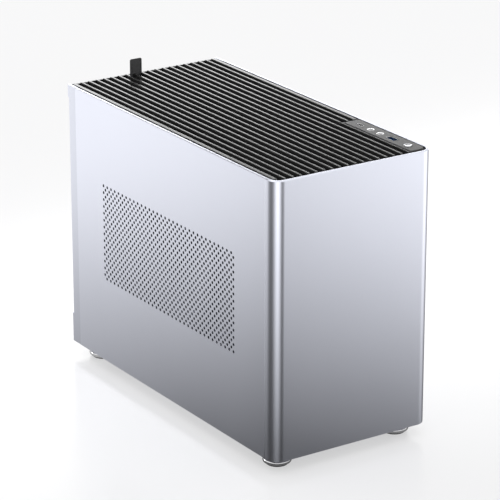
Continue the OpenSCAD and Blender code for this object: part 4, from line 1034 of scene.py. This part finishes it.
def usb_ports():
    """A wide port with its blue tongue, and an oval one."""
    port_low, port_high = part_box("usb_a_port")
    thick = 0.0003
    outer = rounded_box(port_low.x, port_low.y, port_high.x, port_high.y, 0.0005, 3)
    bm = bmesh.new()
    plate(bm, outer, [inset(outer, thick)], port_low.z, port_high.z, hole_edge=0.0001)
    block(bm, (port_low.x + 0.0002, port_low.y + 0.0002, port_low.z),
          (port_high.x - 0.0002, port_high.y - 0.0002, port_low.z + 0.0015))
    made = mesh_object("usb_a_shell", bm, [NICKEL])
    eased(made, 0)
    settle(made, "usb_a_port")
    centre = (port_low + port_high) / 2
    bm = bmesh.new()
    block(bm, (centre.x - 0.0022, centre.y - 0.0056, port_low.z + 0.0015),
          (centre.x - 0.0004, centre.y + 0.0056, port_high.z - 0.001))
    made = mesh_object("usb_a_tongue", bm, [BLUE_PLASTIC])
    eased(made, 0.0002)
    settle(made, body="case", slot=node_slot["usb_a_port"])
    bm = bmesh.new()
    for i in range(4):
        y = centre.y - 0.0035 + i * 0.00233
        block(bm, (centre.x - 0.00042, y - 0.0005, port_low.z + 0.002),
              (centre.x - 0.0002, y + 0.0005, port_high.z - 0.0016))
    made = mesh_object("usb_a_contacts", bm, [GOLD])
    eased(made, 0.00005, 1)
    settle(made, body="case", slot="brass")

    port_low, port_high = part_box("usb_c_port")
    centre = (port_low + port_high) / 2
    radius = (port_high.x - port_low.x) / 2
    outer = rounded_box(port_low.x, port_low.y, port_high.x, port_high.y, radius, 8)
    bm = bmesh.new()
    plate(bm, outer, [inset(outer, 0.0004)], port_low.z, port_high.z, hole_edge=0.0001)
    plate(bm, inset(outer, 0.0002), [], port_low.z, port_low.z + 0.0015)
    made = mesh_object("usb_c_shell", bm, [NICKEL])
    eased(made, 0)
    settle(made, "usb_c_port")
    bm = bmesh.new()
    block(bm, (centre.x - 0.00035, centre.y - 0.0032, port_low.z + 0.0015),
          (centre.x + 0.00035, centre.y + 0.0032, port_high.z - 0.001))
    made = mesh_object("usb_c_tongue", bm, [PLASTIC])
    eased(made, 0.00012)
    settle(made, body="case", slot="black_plastic")
    bm = bmesh.new()
    for i in range(12):
        y = centre.y - 0.00275 + i * 0.0005
        for side in (-1, 1):
            block(bm, (centre.x + side * 0.00033 - 0.00005, y - 0.00012, port_low.z + 0.003),
                  (centre.x + side * 0.00033 + 0.00005, y + 0.00012, port_high.z - 0.0013))
    made = mesh_object("usb_c_contacts", bm, [GOLD])
    eased(made, 0)
    settle(made, body="case", slot="brass")


def headset_jacks():
    """Two ringed jacks with a spring contact down each bore."""
    jack_low, jack_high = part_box("audio_jacks")
    radius, bore = (jack_high.x - jack_low.x) / 2, 0.0018
    x = (jack_low.x + jack_high.x) / 2
    top, bottom = jack_high.z, jack_low.z
    rings, springs = bmesh.new(), bmesh.new()
    for y in (jack_low.y + radius, jack_high.y - radius):
        profile = [(0, bottom), (radius - 0.0002, bottom), (radius, bottom + 0.0002),
                   (radius, top - 0.0003), (radius - 0.00012, top - 0.0001), (radius - 0.0003, top),
                   (radius - 0.0011, top), (radius - 0.0013, top - 0.00025), (bore + 0.00025, top - 0.00025),
                   (bore, top - 0.0006), (bore, bottom + 0.001), (0, bottom + 0.001)]
        lathe(rings, profile, placed((x, y, 0)), 40)
        for side in (-1, 1):
            block(springs, (x + side * 0.00165 - 0.00012, y - 0.0005, bottom + 0.0012),
                  (x + side * 0.00165 + 0.00012, y + 0.0005, top - 0.004))
    settle(eased(mesh_object("jack_rings", rings, [NICKEL]), 0), "audio_jacks")
    settle(eased(mesh_object("jack_springs", springs, [GOLD]), 0.00004, 1), body="case", slot="brass")


# --- Feet ---------------------------------------------------------------------------------

def foot_centres():
    foot_low, foot_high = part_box("feet")
    radius = 0.01325
    return [Vector((x, y, 0)) for x in (foot_low.x + radius, foot_high.x - radius)
            for y in (foot_low.y + radius, foot_high.y - radius)], radius


def ring_feet():
    centres, radius = foot_centres()
    stem_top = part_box("feet")[1].z
    rim = 0.0024
    ring_x, ring_z = radius - rim, 0.0015 + rim
    bm, pads = bmesh.new(), bmesh.new()
    for centre in centres:
        place = placed(centre)
        around = arc(ring_x, ring_z, rim, -128, 118, 16)
        profile = [(0.0021, 0.002)] + [(0.0085, 0.002)] + around
        profile += [(0.0088, 0.0053), (0.0079, 0.0055), (0.0075, 0.0062), (0.0075, stem_top),
                    (0.0021, stem_top)]
        lathe(bm, profile, place, 64)
        outer, inner, pad_top = radius - 0.0028, 0.0046, 0.002
        pad = [(inner, 0.0003), (inner + 0.0003, 0), (outer - 0.0005, 0), (outer, 0.0005),
               (outer, pad_top), (inner, pad_top)]
        lathe(pads, pad, place, 48)
    settle(eased(mesh_object("ring_feet", bm, [CHROME]), 0, sharp=40), "feet")
    settle(eased(mesh_object("foot_rubbers", pads, [RUBBER]), 0, sharp=40), "foot_pads")


# --- Screws -------------------------------------------------------------------------------

def screw_form(name, head_r, head_h, shank_r, shank_l, finish):
    """Pan-head screw standing on z 0, its cross recess cut into the head."""
    bm = bmesh.new()
    profile = [(0, head_h), (head_r * 0.55, head_h), (head_r * 0.8, head_h * 0.86),
               (head_r * 0.95, head_h * 0.55), (head_r, head_h * 0.2), (head_r, 0), (shank_r, 0),
               (shank_r, -shank_l), (0, -shank_l)]
    lathe(bm, profile, placed((0, 0, 0)), 24)
    made = mesh_object(name, bm, [finish])
    cutter = bmesh.new()
    half, arm = head_r * 0.5, head_r * 0.13
    cross = [(arm, -half), (arm, -arm), (half, -arm), (half, arm), (arm, arm), (arm, half),
             (-arm, half), (-arm, arm), (-half, arm), (-half, -arm), (-arm, -arm), (-arm, -half)]
    plate(cutter, cross, [], head_h * 0.35, head_h * 1.5)
    tool = mesh_object(name + "_cross", cutter, [finish])
    cut = made.modifiers.new("recess", "BOOLEAN")
    cut.object = tool
    cut.operation = "DIFFERENCE"
    cut.solver = "EXACT"
    applied(made)
    bpy.data.objects.remove(tool)
    return made


def screw_group(name, form, spots, turn, finish):
    """Copies of a screw at its places, each turned a little differently."""
    mesh = grow(COPIES, {"Copy": form, "Turn": turn, "Spin": 1.6, "Seed": 7, "Finish": finish},
                points_mesh(spots))
    bm = bmesh.new()
    bm.from_mesh(mesh)
    return eased(mesh_object(name, bm, [finish]), 0)


def screws():
    fan = Vector(joints["rear_spin"]["pos_m"])
    spread = 0.046 - 0.00475
    wall_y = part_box("rear_panel")[1].y
    form = screw_form("fan_screw_form", 0.004, 0.0017, 0.0018, 0.007, SCREW_BLACK)
    spots = [(fan.x + sx * spread, wall_y, fan.z + sz * spread) for sx in (-1, 1) for sz in (-1, 1)]
    fan_screws = screw_group("rear_fan_screws", form, spots, (-math.pi / 2, 0, 0), SCREW_BLACK)
    settle(fan_screws, "case_screws")
    bpy.data.objects.remove(form)

    bracket_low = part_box("slot_brackets")[0]
    form = screw_form("slot_screw_form", 0.0032, 0.0017, 0.0014, 0.003, NICKEL)
    card_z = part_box("graphics_backplate")[0].z - 0.0008
    pitch = 0.02032
    spots = [(bracket_low.x + 0.004, wall_y, card_z - 0.0062 - pitch * i) for i in range(3)]
    settle(screw_group("slot_screws", form, spots, (-math.pi / 2, 0, 0), NICKEL),
           body="case", slot=node_slot["case_screws"])
    bpy.data.objects.remove(form)

    board_low, board_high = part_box("main_board")
    board_x = board_high.x - 0.0016
    edge = 0.00635
    form = screw_form("board_screw_form", 0.0028, 0.0018, 0.0014, 0.0016, NICKEL)
    spots = [(board_x, y, z) for y in (board_low.y + edge, board_high.y - edge)
             for z in (board_low.z + edge, board_high.z - edge)]
    settle(screw_group("board_screws", form, spots, (0, -math.pi / 2, 0), NICKEL),
           body="case", slot=node_slot["case_screws"])
    bpy.data.objects.remove(form)
    softened("foot_screws", NICKEL, 0.0004)


# --- Fans ---------------------------------------------------------------------------------

def blade_form(hub, tip, depth, sweep, thick):
    """One curved and twisted blade standing between z 0 and its depth, from hub to tip."""
    rows, cols = 9, 7
    bm = bmesh.new()
    faces = []
    for side in (1, -1):
        grid = []
        for i in range(rows + 1):
            share = i / rows
            radius = hub - 0.0012 + (tip - hub + 0.0012) * share
            chord = 0.52 - 0.10 * share
            line = []
            for j in range(cols + 1):
                along = j / cols
                angle = sweep * share ** 1.3 + chord * (along - 0.5) * (1.25 - 0.3 * share)
                rise = depth * (0.04 + 0.92 * along) * (1 - 0.10 * share) + 0.05 * depth * share
                rise += math.sin(math.pi * along) * depth * 0.10
                fat = thick * (0.25 + 0.75 * math.sin(math.pi * min(max(along, 0.02), 0.98)) ** 0.6)
                rise = min(max(rise + side * fat * 0.5, 0.0), depth)
                line.append(bm.verts.new((radius * math.cos(angle), radius * math.sin(angle), rise)))
            grid.append(line)
        faces.append(grid)
        for a, b in zip(grid, grid[1:]):
            bridge(bm, a, b, closed=False)
    rims = [grid[0] + [row[-1] for row in grid[1:]] + grid[-1][-2::-1] + [row[0] for row in grid[-2:0:-1]]
            for grid in faces]
    bridge(bm, *rims)
    return mesh_object("blade_form", bm, [GREY_PLASTIC])


def fan_wheel(node, name, joint_name, hub, tip, blades, hub_z, blade_z, shaft):
    """A fan wheel on its joint's axis. hub_z, blade_z and shaft are spans along the axis from its low end."""
    joint = joints[joint_name]
    axis = Vector(joint["axis"])
    centre = Vector(joint["pos_m"])
    ends = [corner.dot(axis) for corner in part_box(node)]
    origin = centre - axis * (centre.dot(axis) - min(ends))
    place = placed(origin, axis)
    form = blade_form(hub, tip, blade_z[1] - blade_z[0], 0.42, 0.0013)
    ring = grow(RING, {"Copy": form, "Count": blades, "Finish": GREY_PLASTIC})
    bpy.data.objects.remove(form)
    for vert in ring.vertices:
        vert.co = place(vert.co.x, vert.co.y, vert.co.z + blade_z[0])
    bm = bmesh.new()
    bm.from_mesh(ring)
    z0, z1 = hub_z
    profile = [(0, z1 - 0.0004), (hub * 0.45, z1 - 0.0002), (hub * 0.5, z1), (hub - 0.0014, z1),
               (hub - 0.0004, z1 - 0.0005), (hub, z1 - 0.0015), (hub, z0 + 0.0003), (hub - 0.0003, z0),
               (shaft[2], z0), (shaft[2], shaft[0] + 0.0002), (shaft[2] - 0.0002, shaft[0]), (0, shaft[0])]
    if shaft[0] > z0:
        profile = [(0, shaft[1]), (shaft[2] - 0.0002, shaft[1]), (shaft[2], shaft[1] - 0.0002),
                   (shaft[2], z1), (hub - 0.0003, z1), (hub, z1 - 0.0003), (hub, z0 + 0.0015),
                   (hub - 0.0004, z0 + 0.0005), (hub - 0.0014, z0), (hub * 0.5, z0),
                   (hub * 0.45, z0 + 0.0002), (0, z0 + 0.0004)]
    lathe(bm, profile, place, 48)
    made = mesh_object(name, bm, [GREY_PLASTIC])
    eased(made, 0, sharp=40)
    settle(made, node)


def fans():
    small_hub, small_tip = 0.01748, 0.0428
    for node, name, joint in (("cooler_fan_rotor", "cooler_fan_wheel", "cooler_spin"),
                              ("rear_fan_rotor", "rear_fan_wheel", "rear_spin")):
        fan_wheel(node, name, joint, small_hub, small_tip, 9, (0.0026, 0.0232), (0.0026, 0.0222),
                  (0.0, 0.0026, 0.0015))
    for node, name, joint in (("floor_rotor_rear", "floor_fan_wheel_rear", "floor_spin_rear"),
                              ("floor_rotor_front", "floor_fan_wheel_front", "floor_spin_front")):
        fan_wheel(node, name, joint, 0.0228, 0.0568, 11, (0.0026, 0.0132), (0.0026, 0.0122),
                  (0.0, 0.0026, 0.0015))
    for node, name, joint in (("graphics_rotor_rear", "card_fan_wheel_rear", "card_spin_rear"),
                              ("graphics_rotor_front", "card_fan_wheel_front", "card_spin_front")):
        fan_wheel(node, name, joint, 0.015, 0.042, 11, (0.0, 0.0105), (0.0, 0.0095),
                  (0.01, 0.017, 0.0015))
    fan_wheel("supply_rotor", "supply_fan_wheel", "supply_spin", 0.016, 0.042, 7, (0.0, 0.013),
              (0.0, 0.012), (0.012, 0.021, 0.0015))
    for node in ("cooler_fan_frame", "rear_fan_frame", "floor_fan_frames"):
        softened(node, PLASTIC, 0.0006, 3)


# --- Leads --------------------------------------------------------------------------------

LINK_ROUTE = [(-58, 143, 29), (-58, 136, 29), (-60, 130, 28), (-64, 123, 26), (-67, 115, 24),
              (-68, 105, 22), (-68, 70, 21), (-68, 30, 21), (-68, -10, 21), (-68, -50, 21),
              (-68, -90, 22), (-67.5, -108, 26), (-65, -120, 36), (-59, -128, 50), (-51, -131, 66),
              (-45, -131, 82), (-43, -130.5, 96), (-43, -130.5, 110), (-43, -130.5, 125)]
LEAD_ROUTE = [(-42, -66, 240.8), (-42, -66, 245), (-38, -65, 250.5), (-26, -62, 254),
              (-12, -58, 253.5), (-2, -52, 248), (5, -44, 240), (9, -34, 231), (11, -24, 222),
              (14, -14, 213), (18, -6, 206), (24, -1, 202), (31, 2.5, 200.5), (38, 3, 200)]
MM = 0.001


def leads():
    """The mains link inside the case, and the sleeved lead to the board, each with its plug."""
    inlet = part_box("supply_inlet")
    centre = (inlet[0] + inlet[1]) / 2
    bm = bmesh.new()
    line = smooth_path([Vector(p) * MM for p in LINK_ROUTE], 4)
    tube(bm, line, 0.0035, 14)
    made = mesh_object("mains_link_cable", bm, [CABLE])
    eased(made, 0)
    settle(made, "mains_link")
    bm = bmesh.new()
    z1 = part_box("supply_case")[0].z - 0.0032
    half_x, half_y = 0.0076, 0.0116
    outline = rounded_box(centre.x - half_x, centre.y - half_y, centre.x + half_x, centre.y + half_y,
                          0.002, 5)
    plate(bm, outline, [], z1 - 0.014, z1 - 0.0002, edge=0.0008)
    rings = [(0.0035, z1 - 0.030), (0.0046, z1 - 0.030), (0.0050, z1 - 0.026), (0.0046, z1 - 0.0255),
             (0.0046, z1 - 0.0235), (0.0054, z1 - 0.023), (0.0054, z1 - 0.019), (0.0050, z1 - 0.0185),
             (0.0050, z1 - 0.0165), (0.0060, z1 - 0.016), (0.0064, z1 - 0.0141), (0.0035, z1 - 0.0141)]
    lathe(bm, rings, placed((centre.x, centre.y, 0)), 28)
    made = mesh_object("mains_link_plug", bm, [CABLE])
    eased(made, 0)
    settle(made, body="case", slot=node_slot["mains_link"])

    bm = bmesh.new()
    core = smooth_path([Vector(p) * MM for p in LEAD_ROUTE], 5)
    across = Vector((0, 0, 1))
    frames = []
    for i, point in enumerate(core):
        ahead = (core[min(i + 1, len(core) - 1)] - core[max(i - 1, 0)]).normalized()
        if i == 0:
            across = ahead.orthogonal().normalized()
        across = (across - ahead * across.dot(ahead)).normalized()
        frames.append((point, across.copy(), ahead.cross(across)))
    strands, strand_r = 7, 0.00135
    for k in range(strands + 5):
        ring_r = 0.0 if k == strands + 4 else (0.0031 if k < strands else 0.0014)
        count = strands if k < strands else 4
        line = []
        for i, (point, one, other) in enumerate(frames):
            angle = 2 * math.pi * (k / count + 0.5 * i / len(frames))
            line.append(point + ring_r * (math.cos(angle) * one + math.sin(angle) * other))
        tube(bm, line, strand_r, 8)
    made = mesh_object("board_lead_wires", bm, [SLEEVE])
    eased(made, 0)
    settle(made, "board_lead")
    lead_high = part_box("board_lead")[1]
    board_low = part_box("main_board")[0]
    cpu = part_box("processor")
    cpu_z = (cpu[0].z + cpu[1].z) / 2
    bm = bmesh.new()
    block(bm, (lead_high.x - 0.013, board_low.y + 0.001, cpu_z - 0.012),
          (lead_high.x, board_low.y + 0.011, cpu_z + 0.036))
    for i in range(12):
        z = cpu_z - 0.0105 + i * 0.0041
        for y in (0.0035, 0.0085):
            block(bm, (lead_high.x - 0.0142, board_low.y + y - 0.0014, z - 0.0014),
                  (lead_high.x - 0.0129, board_low.y + y + 0.0014, z + 0.0014))
    made = mesh_object("board_lead_plug", bm, [PLASTIC])
    eased(made, 0.0003)
    settle(made, body="case", slot=node_slot["board_lead"])


# --- Board --------------------------------------------------------------------------------

def board_details():
    """Small parts strewn over the main board, and rows of capacitors."""
    board_low, board_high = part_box("main_board")
    face_x = board_high.x - 0.0016
    form = bmesh.new()
    block(form, (-0.5, -0.5, 0), (0.5, 0.5, 1))
    chip = mesh_object("chip_form", form, [PLASTIC])
    patch = bpy.data.meshes.new("patch")
    x = face_x - 0.00002
    y0, y1 = board_low.y + 0.036, board_high.y - 0.062
    z0, z1 = board_low.z + 0.052, board_low.z + 0.066
    corners = [(x, y0, z0), (x, y0, z1), (x, y1, z1), (x, y1, z0)]
    patch.from_pydata(corners, [], [(0, 1, 2, 3)])
    parts = grow(SCATTER, {"Copy": chip, "Gap": 0.004, "Density": 60000.0, "Seed": 11,
                           "Smallest": (0.0012, 0.0008, 0.0006), "Largest": (0.0035, 0.0022, 0.0012),
                           "Turn": (0, -math.pi / 2, 0), "Finish": PLASTIC}, patch)
    bpy.data.objects.remove(chip)
    bm = bmesh.new()
    bm.from_mesh(parts)
    made = mesh_object("board_small_parts", bm, [PLASTIC])
    eased(made, 0)
    settle(made, body="case", slot="black_plastic")

    form = bmesh.new()
    lathe(form, [(0, 0.0075), (0.0026, 0.0075), (0.003, 0.0071), (0.003, 0.0012), (0.0027, 0.0009),
                 (0.003, 0.0005), (0.003, 0), (0, 0)], placed((0, 0, 0)), 24)
    can = mesh_object("can_form", form, [ALUMINIUM])
    cpu_low, cpu_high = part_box("processor")
    spots = [(face_x, cpu_high.y + 0.009, cpu_low.z + 0.004 + i * 0.008) for i in range(5)]
    spots += [(face_x, board_low.y + 0.045 + i * 0.009, board_low.z + 0.072) for i in range(3)]
    cans = grow(COPIES, {"Copy": can, "Turn": (0, -math.pi / 2, 0), "Spin": 6.0, "Seed": 3,
                         "Finish": ALUMINIUM}, points_mesh(spots))
    bpy.data.objects.remove(can)
    bm = bmesh.new()
    bm.from_mesh(cans)
    made = mesh_object("board_capacitors", bm, [ALUMINIUM])
    eased(made, 0)
    settle(made, body="case", slot="port_metal")


SOFTENED = [
    ("rear_surround", REAR_SILVER, 0.0003), ("rear_panel", STEEL, 0.0002), ("bottom_panel", SILVER, 0.0003),
    ("front_bulkhead", STEEL, 0.0003), ("bulkhead_legs", STEEL, 0.0003),
    ("top_rails", STEEL, 0.0003), ("panel_clips", CLIP_PLASTIC, 0.0003),
    ("strip_board", GREEN_BOARD, 0.0001), ("board_tray", STEEL, 0.0003), ("standoffs", BRASS, 0.0003),
    ("main_board", BOARD, 0.0002), ("rear_ports", NICKEL, 0.0003), ("port_shield", NICKEL, 0.0002),
    ("processor", ALUMINIUM, 0.0003), ("cooler_base", COPPER, 0.0004), ("cooler_fins", ALUMINIUM, 0.0001),
    ("memory_sticks", PLASTIC, 0.0002), ("drive_module", PLASTIC, 0.0004),
    ("regulator_heatsink", DARK_METAL, 0.0004), ("graphics_board", BOARD, 0.0002),
    ("graphics_heatsink", ALUMINIUM, 0.0001), ("graphics_shroud", PLASTIC, 0.0006),
    ("graphics_backplate", DARK_METAL, 0.0003), ("slot_brackets", NICKEL, 0.0002),
    ("supply_case", BLACK_STEEL, 0.0003), ("supply_bracket", STEEL, 0.0003),
    ("supply_switch", PLASTIC, 0.0003), ("supply_inlet", PLASTIC, 0.0003), ("rear_inlet", PLASTIC, 0.0003),
]


# --- Stage --------------------------------------------------------------------------------

# What the metal mirrors of the floor: (distance in metres, level) from the front left corner,
# then (share of a turn, level) round each front corner. These stand for no real room: the levels
# were adjusted, over many tries, until the panels' tones came out right in the main view.
# CARD_LEVEL (height, level) was adjusted in the same way for the lid.
GLOW_AWAY = [(0.06, 0.12), (0.2, 0.27), (0.34, 0.44), (0.49, 0.62), (0.63, 0.80), (0.8, 1.0),
             (1.0, 1.15)]
GLOW_LEFT = [(0.0, 0.12), (0.04, 0.25), (0.10, 1.2), (0.15, 1.8), (0.20, 1.4), (0.245, 0.2),
             (0.29, 0.12), (0.33, 0.9), (0.345, 1.0), (0.6, 1.0), (0.76, 1.0), (0.85, 1.0),
             (0.88, 0.6), (0.95, 0.15), (1.0, 0.12)]
GLOW_RIGHT = [(0.0, 1.0), (0.345, 1.0), (0.40, 1.5), (0.46, 1.5), (0.52, 0.4), (0.62, 0.3),
              (0.7, 1.0), (1.0, 1.0)]
SKY_LEVEL = 1.02
SKY_MIRRORED = [(0.0, 0.7), (0.3, 0.9), (0.5, 1.4), (1.0, 1.2)]   # by height
CARD_LEVEL = [(0.66, 3.8), (0.74, 1.6), (0.80, 0.55), (0.86, 0.22), (0.95, 0.15)]
CARD_X = (-1.2, 2.6)
CARD_Y = 1.2
CARD_Z = (0.3, 1.5)
FLOOR_GLOW = 0.53

def ramp(tree, factor, stops):
    """A piecewise line through (place, value) stops."""
    highest = max(value for _, value in stops)
    made = tree.nodes.new("ShaderNodeValToRGB")
    tree.links.new(factor, made.inputs[0])
    first, last = made.color_ramp.elements[0], made.color_ramp.elements[1]
    for element, (at, value) in ((first, stops[0]), (last, stops[-1])):
        element.position = at
        element.color = (*[value / highest] * 3, 1)
    for at, value in stops[1:-1]:
        made.color_ramp.elements.new(at).color = (*[value / highest] * 3, 1)
    return calc(tree, "MULTIPLY", made.outputs[0], highest)


def round_corner(tree, place, side):
    """Turn round one front corner of the body, from 0 to 1, and the distance from it."""
    corner = (side * (side_x - CORNER / 2), front_y + CORNER / 2, 0)
    from_corner = add(tree, "ShaderNodeVectorMath", {0: place, 1: corner}, operation="SUBTRACT").outputs[0]
    parts = add(tree, "ShaderNodeSeparateXYZ", {0: from_corner}).outputs
    angle = calc(tree, "ARCTAN2", parts[1], parts[0])
    turn = calc(tree, "ADD", calc(tree, "DIVIDE", angle, 2 * math.pi), 0.5)
    return turn, add(tree, "ShaderNodeVectorMath", {0: from_corner}, operation="LENGTH").outputs[1]


def floor():
    """A pale sweep. What the metal mirrors of it darkens towards the object."""
    mesh = bpy.data.meshes.new("floor")
    size = 12.0
    mesh.from_pydata([(-size, -size, 0), (size, -size, 0), (size, size, 0), (-size, size, 0)], [],
                     [(0, 1, 2, 3)])
    made = bpy.data.objects.new("floor", mesh)
    bpy.context.scene.collection.objects.link(made)
    material = bpy.data.materials.new("floor")
    material.use_nodes = True
    tree = material.node_tree
    shader = tree.nodes["Principled BSDF"]
    shader.inputs["Base Color"].default_value = (0.335, 0.335, 0.34, 1)
    shader.inputs["Emission Color"].default_value = (1, 1, 1, 1)
    shader.inputs["Emission Strength"].default_value = FLOOR_GLOW
    shader.inputs["Roughness"].default_value = 0.2
    shader.inputs["Specular IOR Level"].default_value = 0.12
    place = tree.nodes.new("ShaderNodeTexCoord").outputs["Object"]
    left, from_left = round_corner(tree, place, -1)
    right, _ = round_corner(tree, place, 1)
    away = ramp(tree, from_left, GLOW_AWAY)
    bands = ramp(tree, left, GLOW_LEFT)
    ends = ramp(tree, right, GLOW_RIGHT)
    level = calc(tree, "MULTIPLY", calc(tree, "MULTIPLY", away, bands), ends)
    mirrored = add(tree, "ShaderNodeEmission", {"Strength": level})
    rays = tree.nodes.new("ShaderNodeLightPath")
    mixed = add(tree, "ShaderNodeMixShader", {0: rays.outputs["Is Glossy Ray"], 1: shader.outputs[0],
                                              2: mirrored.outputs[0]})
    tree.links.new(mixed.outputs[0], tree.nodes["Material Output"].inputs[0])
    mesh.materials.append(material)


def sky():
    """Even white light all round, and a softer sky in the metal's reflections."""
    world = bpy.data.worlds.new("studio")
    bpy.context.scene.world = world
    world.use_nodes = True
    tree = world.node_tree
    even = tree.nodes["Background"]
    even.inputs["Color"].default_value = (1, 1, 1, 1)
    even.inputs["Strength"].default_value = SKY_LEVEL
    way = tree.nodes.new("ShaderNodeTexCoord").outputs["Generated"]
    height = add(tree, "ShaderNodeSeparateXYZ", {0: way}).outputs[2]
    level = ramp(tree, height, SKY_MIRRORED)
    seen = add(tree, "ShaderNodeBackground", {"Strength": level})
    rays = tree.nodes.new("ShaderNodeLightPath")
    mixed = add(tree, "ShaderNodeMixShader", {0: rays.outputs["Is Glossy Ray"], 1: even.outputs[0],
                                              2: seen.outputs[0]})
    tree.links.new(mixed.outputs[0], tree.nodes["World Output"].inputs[0])


def softbox(name, place, aim, size, power):
    light = bpy.data.lights.new(name, "AREA")
    light.shape = "RECTANGLE"
    light.size, light.size_y = size
    light.energy = power
    made = bpy.data.objects.new(name, light)
    made.location = place
    made.rotation_euler = (Vector(aim) - Vector(place)).to_track_quat("-Z", "Y").to_euler()
    bpy.context.scene.collection.objects.link(made)
    return made


def rear_card():
    """A graded card behind the body, seen only in the reflections of its level faces."""
    mesh = bpy.data.meshes.new("rear_card")
    corners = [(CARD_X[i], CARD_Y, CARD_Z[k]) for i, k in ((0, 0), (1, 0), (1, 1), (0, 1))]
    mesh.from_pydata(corners, [], [(0, 1, 2, 3)])
    made = bpy.data.objects.new("rear_card", mesh)
    bpy.context.scene.collection.objects.link(made)
    for ray in ("camera", "diffuse", "shadow", "transmission", "volume_scatter"):
        setattr(made, "visible_" + ray, False)
    material = bpy.data.materials.new("rear_card")
    material.use_nodes = True
    tree = material.node_tree
    place = tree.nodes.new("ShaderNodeTexCoord").outputs["Object"]
    height = add(tree, "ShaderNodeSeparateXYZ", {0: place}).outputs[2]
    level = ramp(tree, height, CARD_LEVEL)
    glow = add(tree, "ShaderNodeEmission", {"Strength": level})
    tree.links.new(glow.outputs[0], tree.nodes["Material Output"].inputs[0])
    mesh.materials.append(material)


def lights():
    sky()
    rear_card()
    softbox("top_box", (-0.3, 0.4, 1.9), (0, 0, 0.2), (1.6, 1.2), 3.0)


AZIMUTH = math.radians(33.48)     # turned from the front towards the left side
ELEVATION = math.radians(20.0)
DISTANCE = 2.574
AIM_OFFSET = Vector((0.0049, -0.0033, -0.0012))   # from the middle of the box
LENS = 198.2


def camera():
    aim = (cad_box[0] + cad_box[1]) / 2 + AIM_OFFSET
    back = Vector((-math.sin(AZIMUTH) * math.cos(ELEVATION), -math.cos(AZIMUTH) * math.cos(ELEVATION),
                   math.sin(ELEVATION)))
    data = bpy.data.cameras.new("camera")
    data.lens = LENS
    data.sensor_width = 36.0
    data.clip_end = 50.0
    made = bpy.data.objects.new("camera", data)
    made.location = aim + back * DISTANCE
    made.rotation_euler = (-back).to_track_quat("-Z", "Y").to_euler()
    bpy.context.scene.collection.objects.link(made)
    bpy.context.scene.camera = made


camera()
lights()
floor()
bpy.context.scene.view_settings.view_transform = "Standard"

front_shell()
side_cover(-1, "left_side_cover", "left_side_panel", "left_panel_studs")
side_cover(1, "right_side_cover", "right_side_panel", "right_panel_studs")
slatted_lid()
pull_strap()
strip_cover()
power_key()
usb_ports()
headset_jacks()
ring_feet()
screws()
fans()
leads()
board_details()
for node, finish, width in SOFTENED:
    softened(node, finish, width)
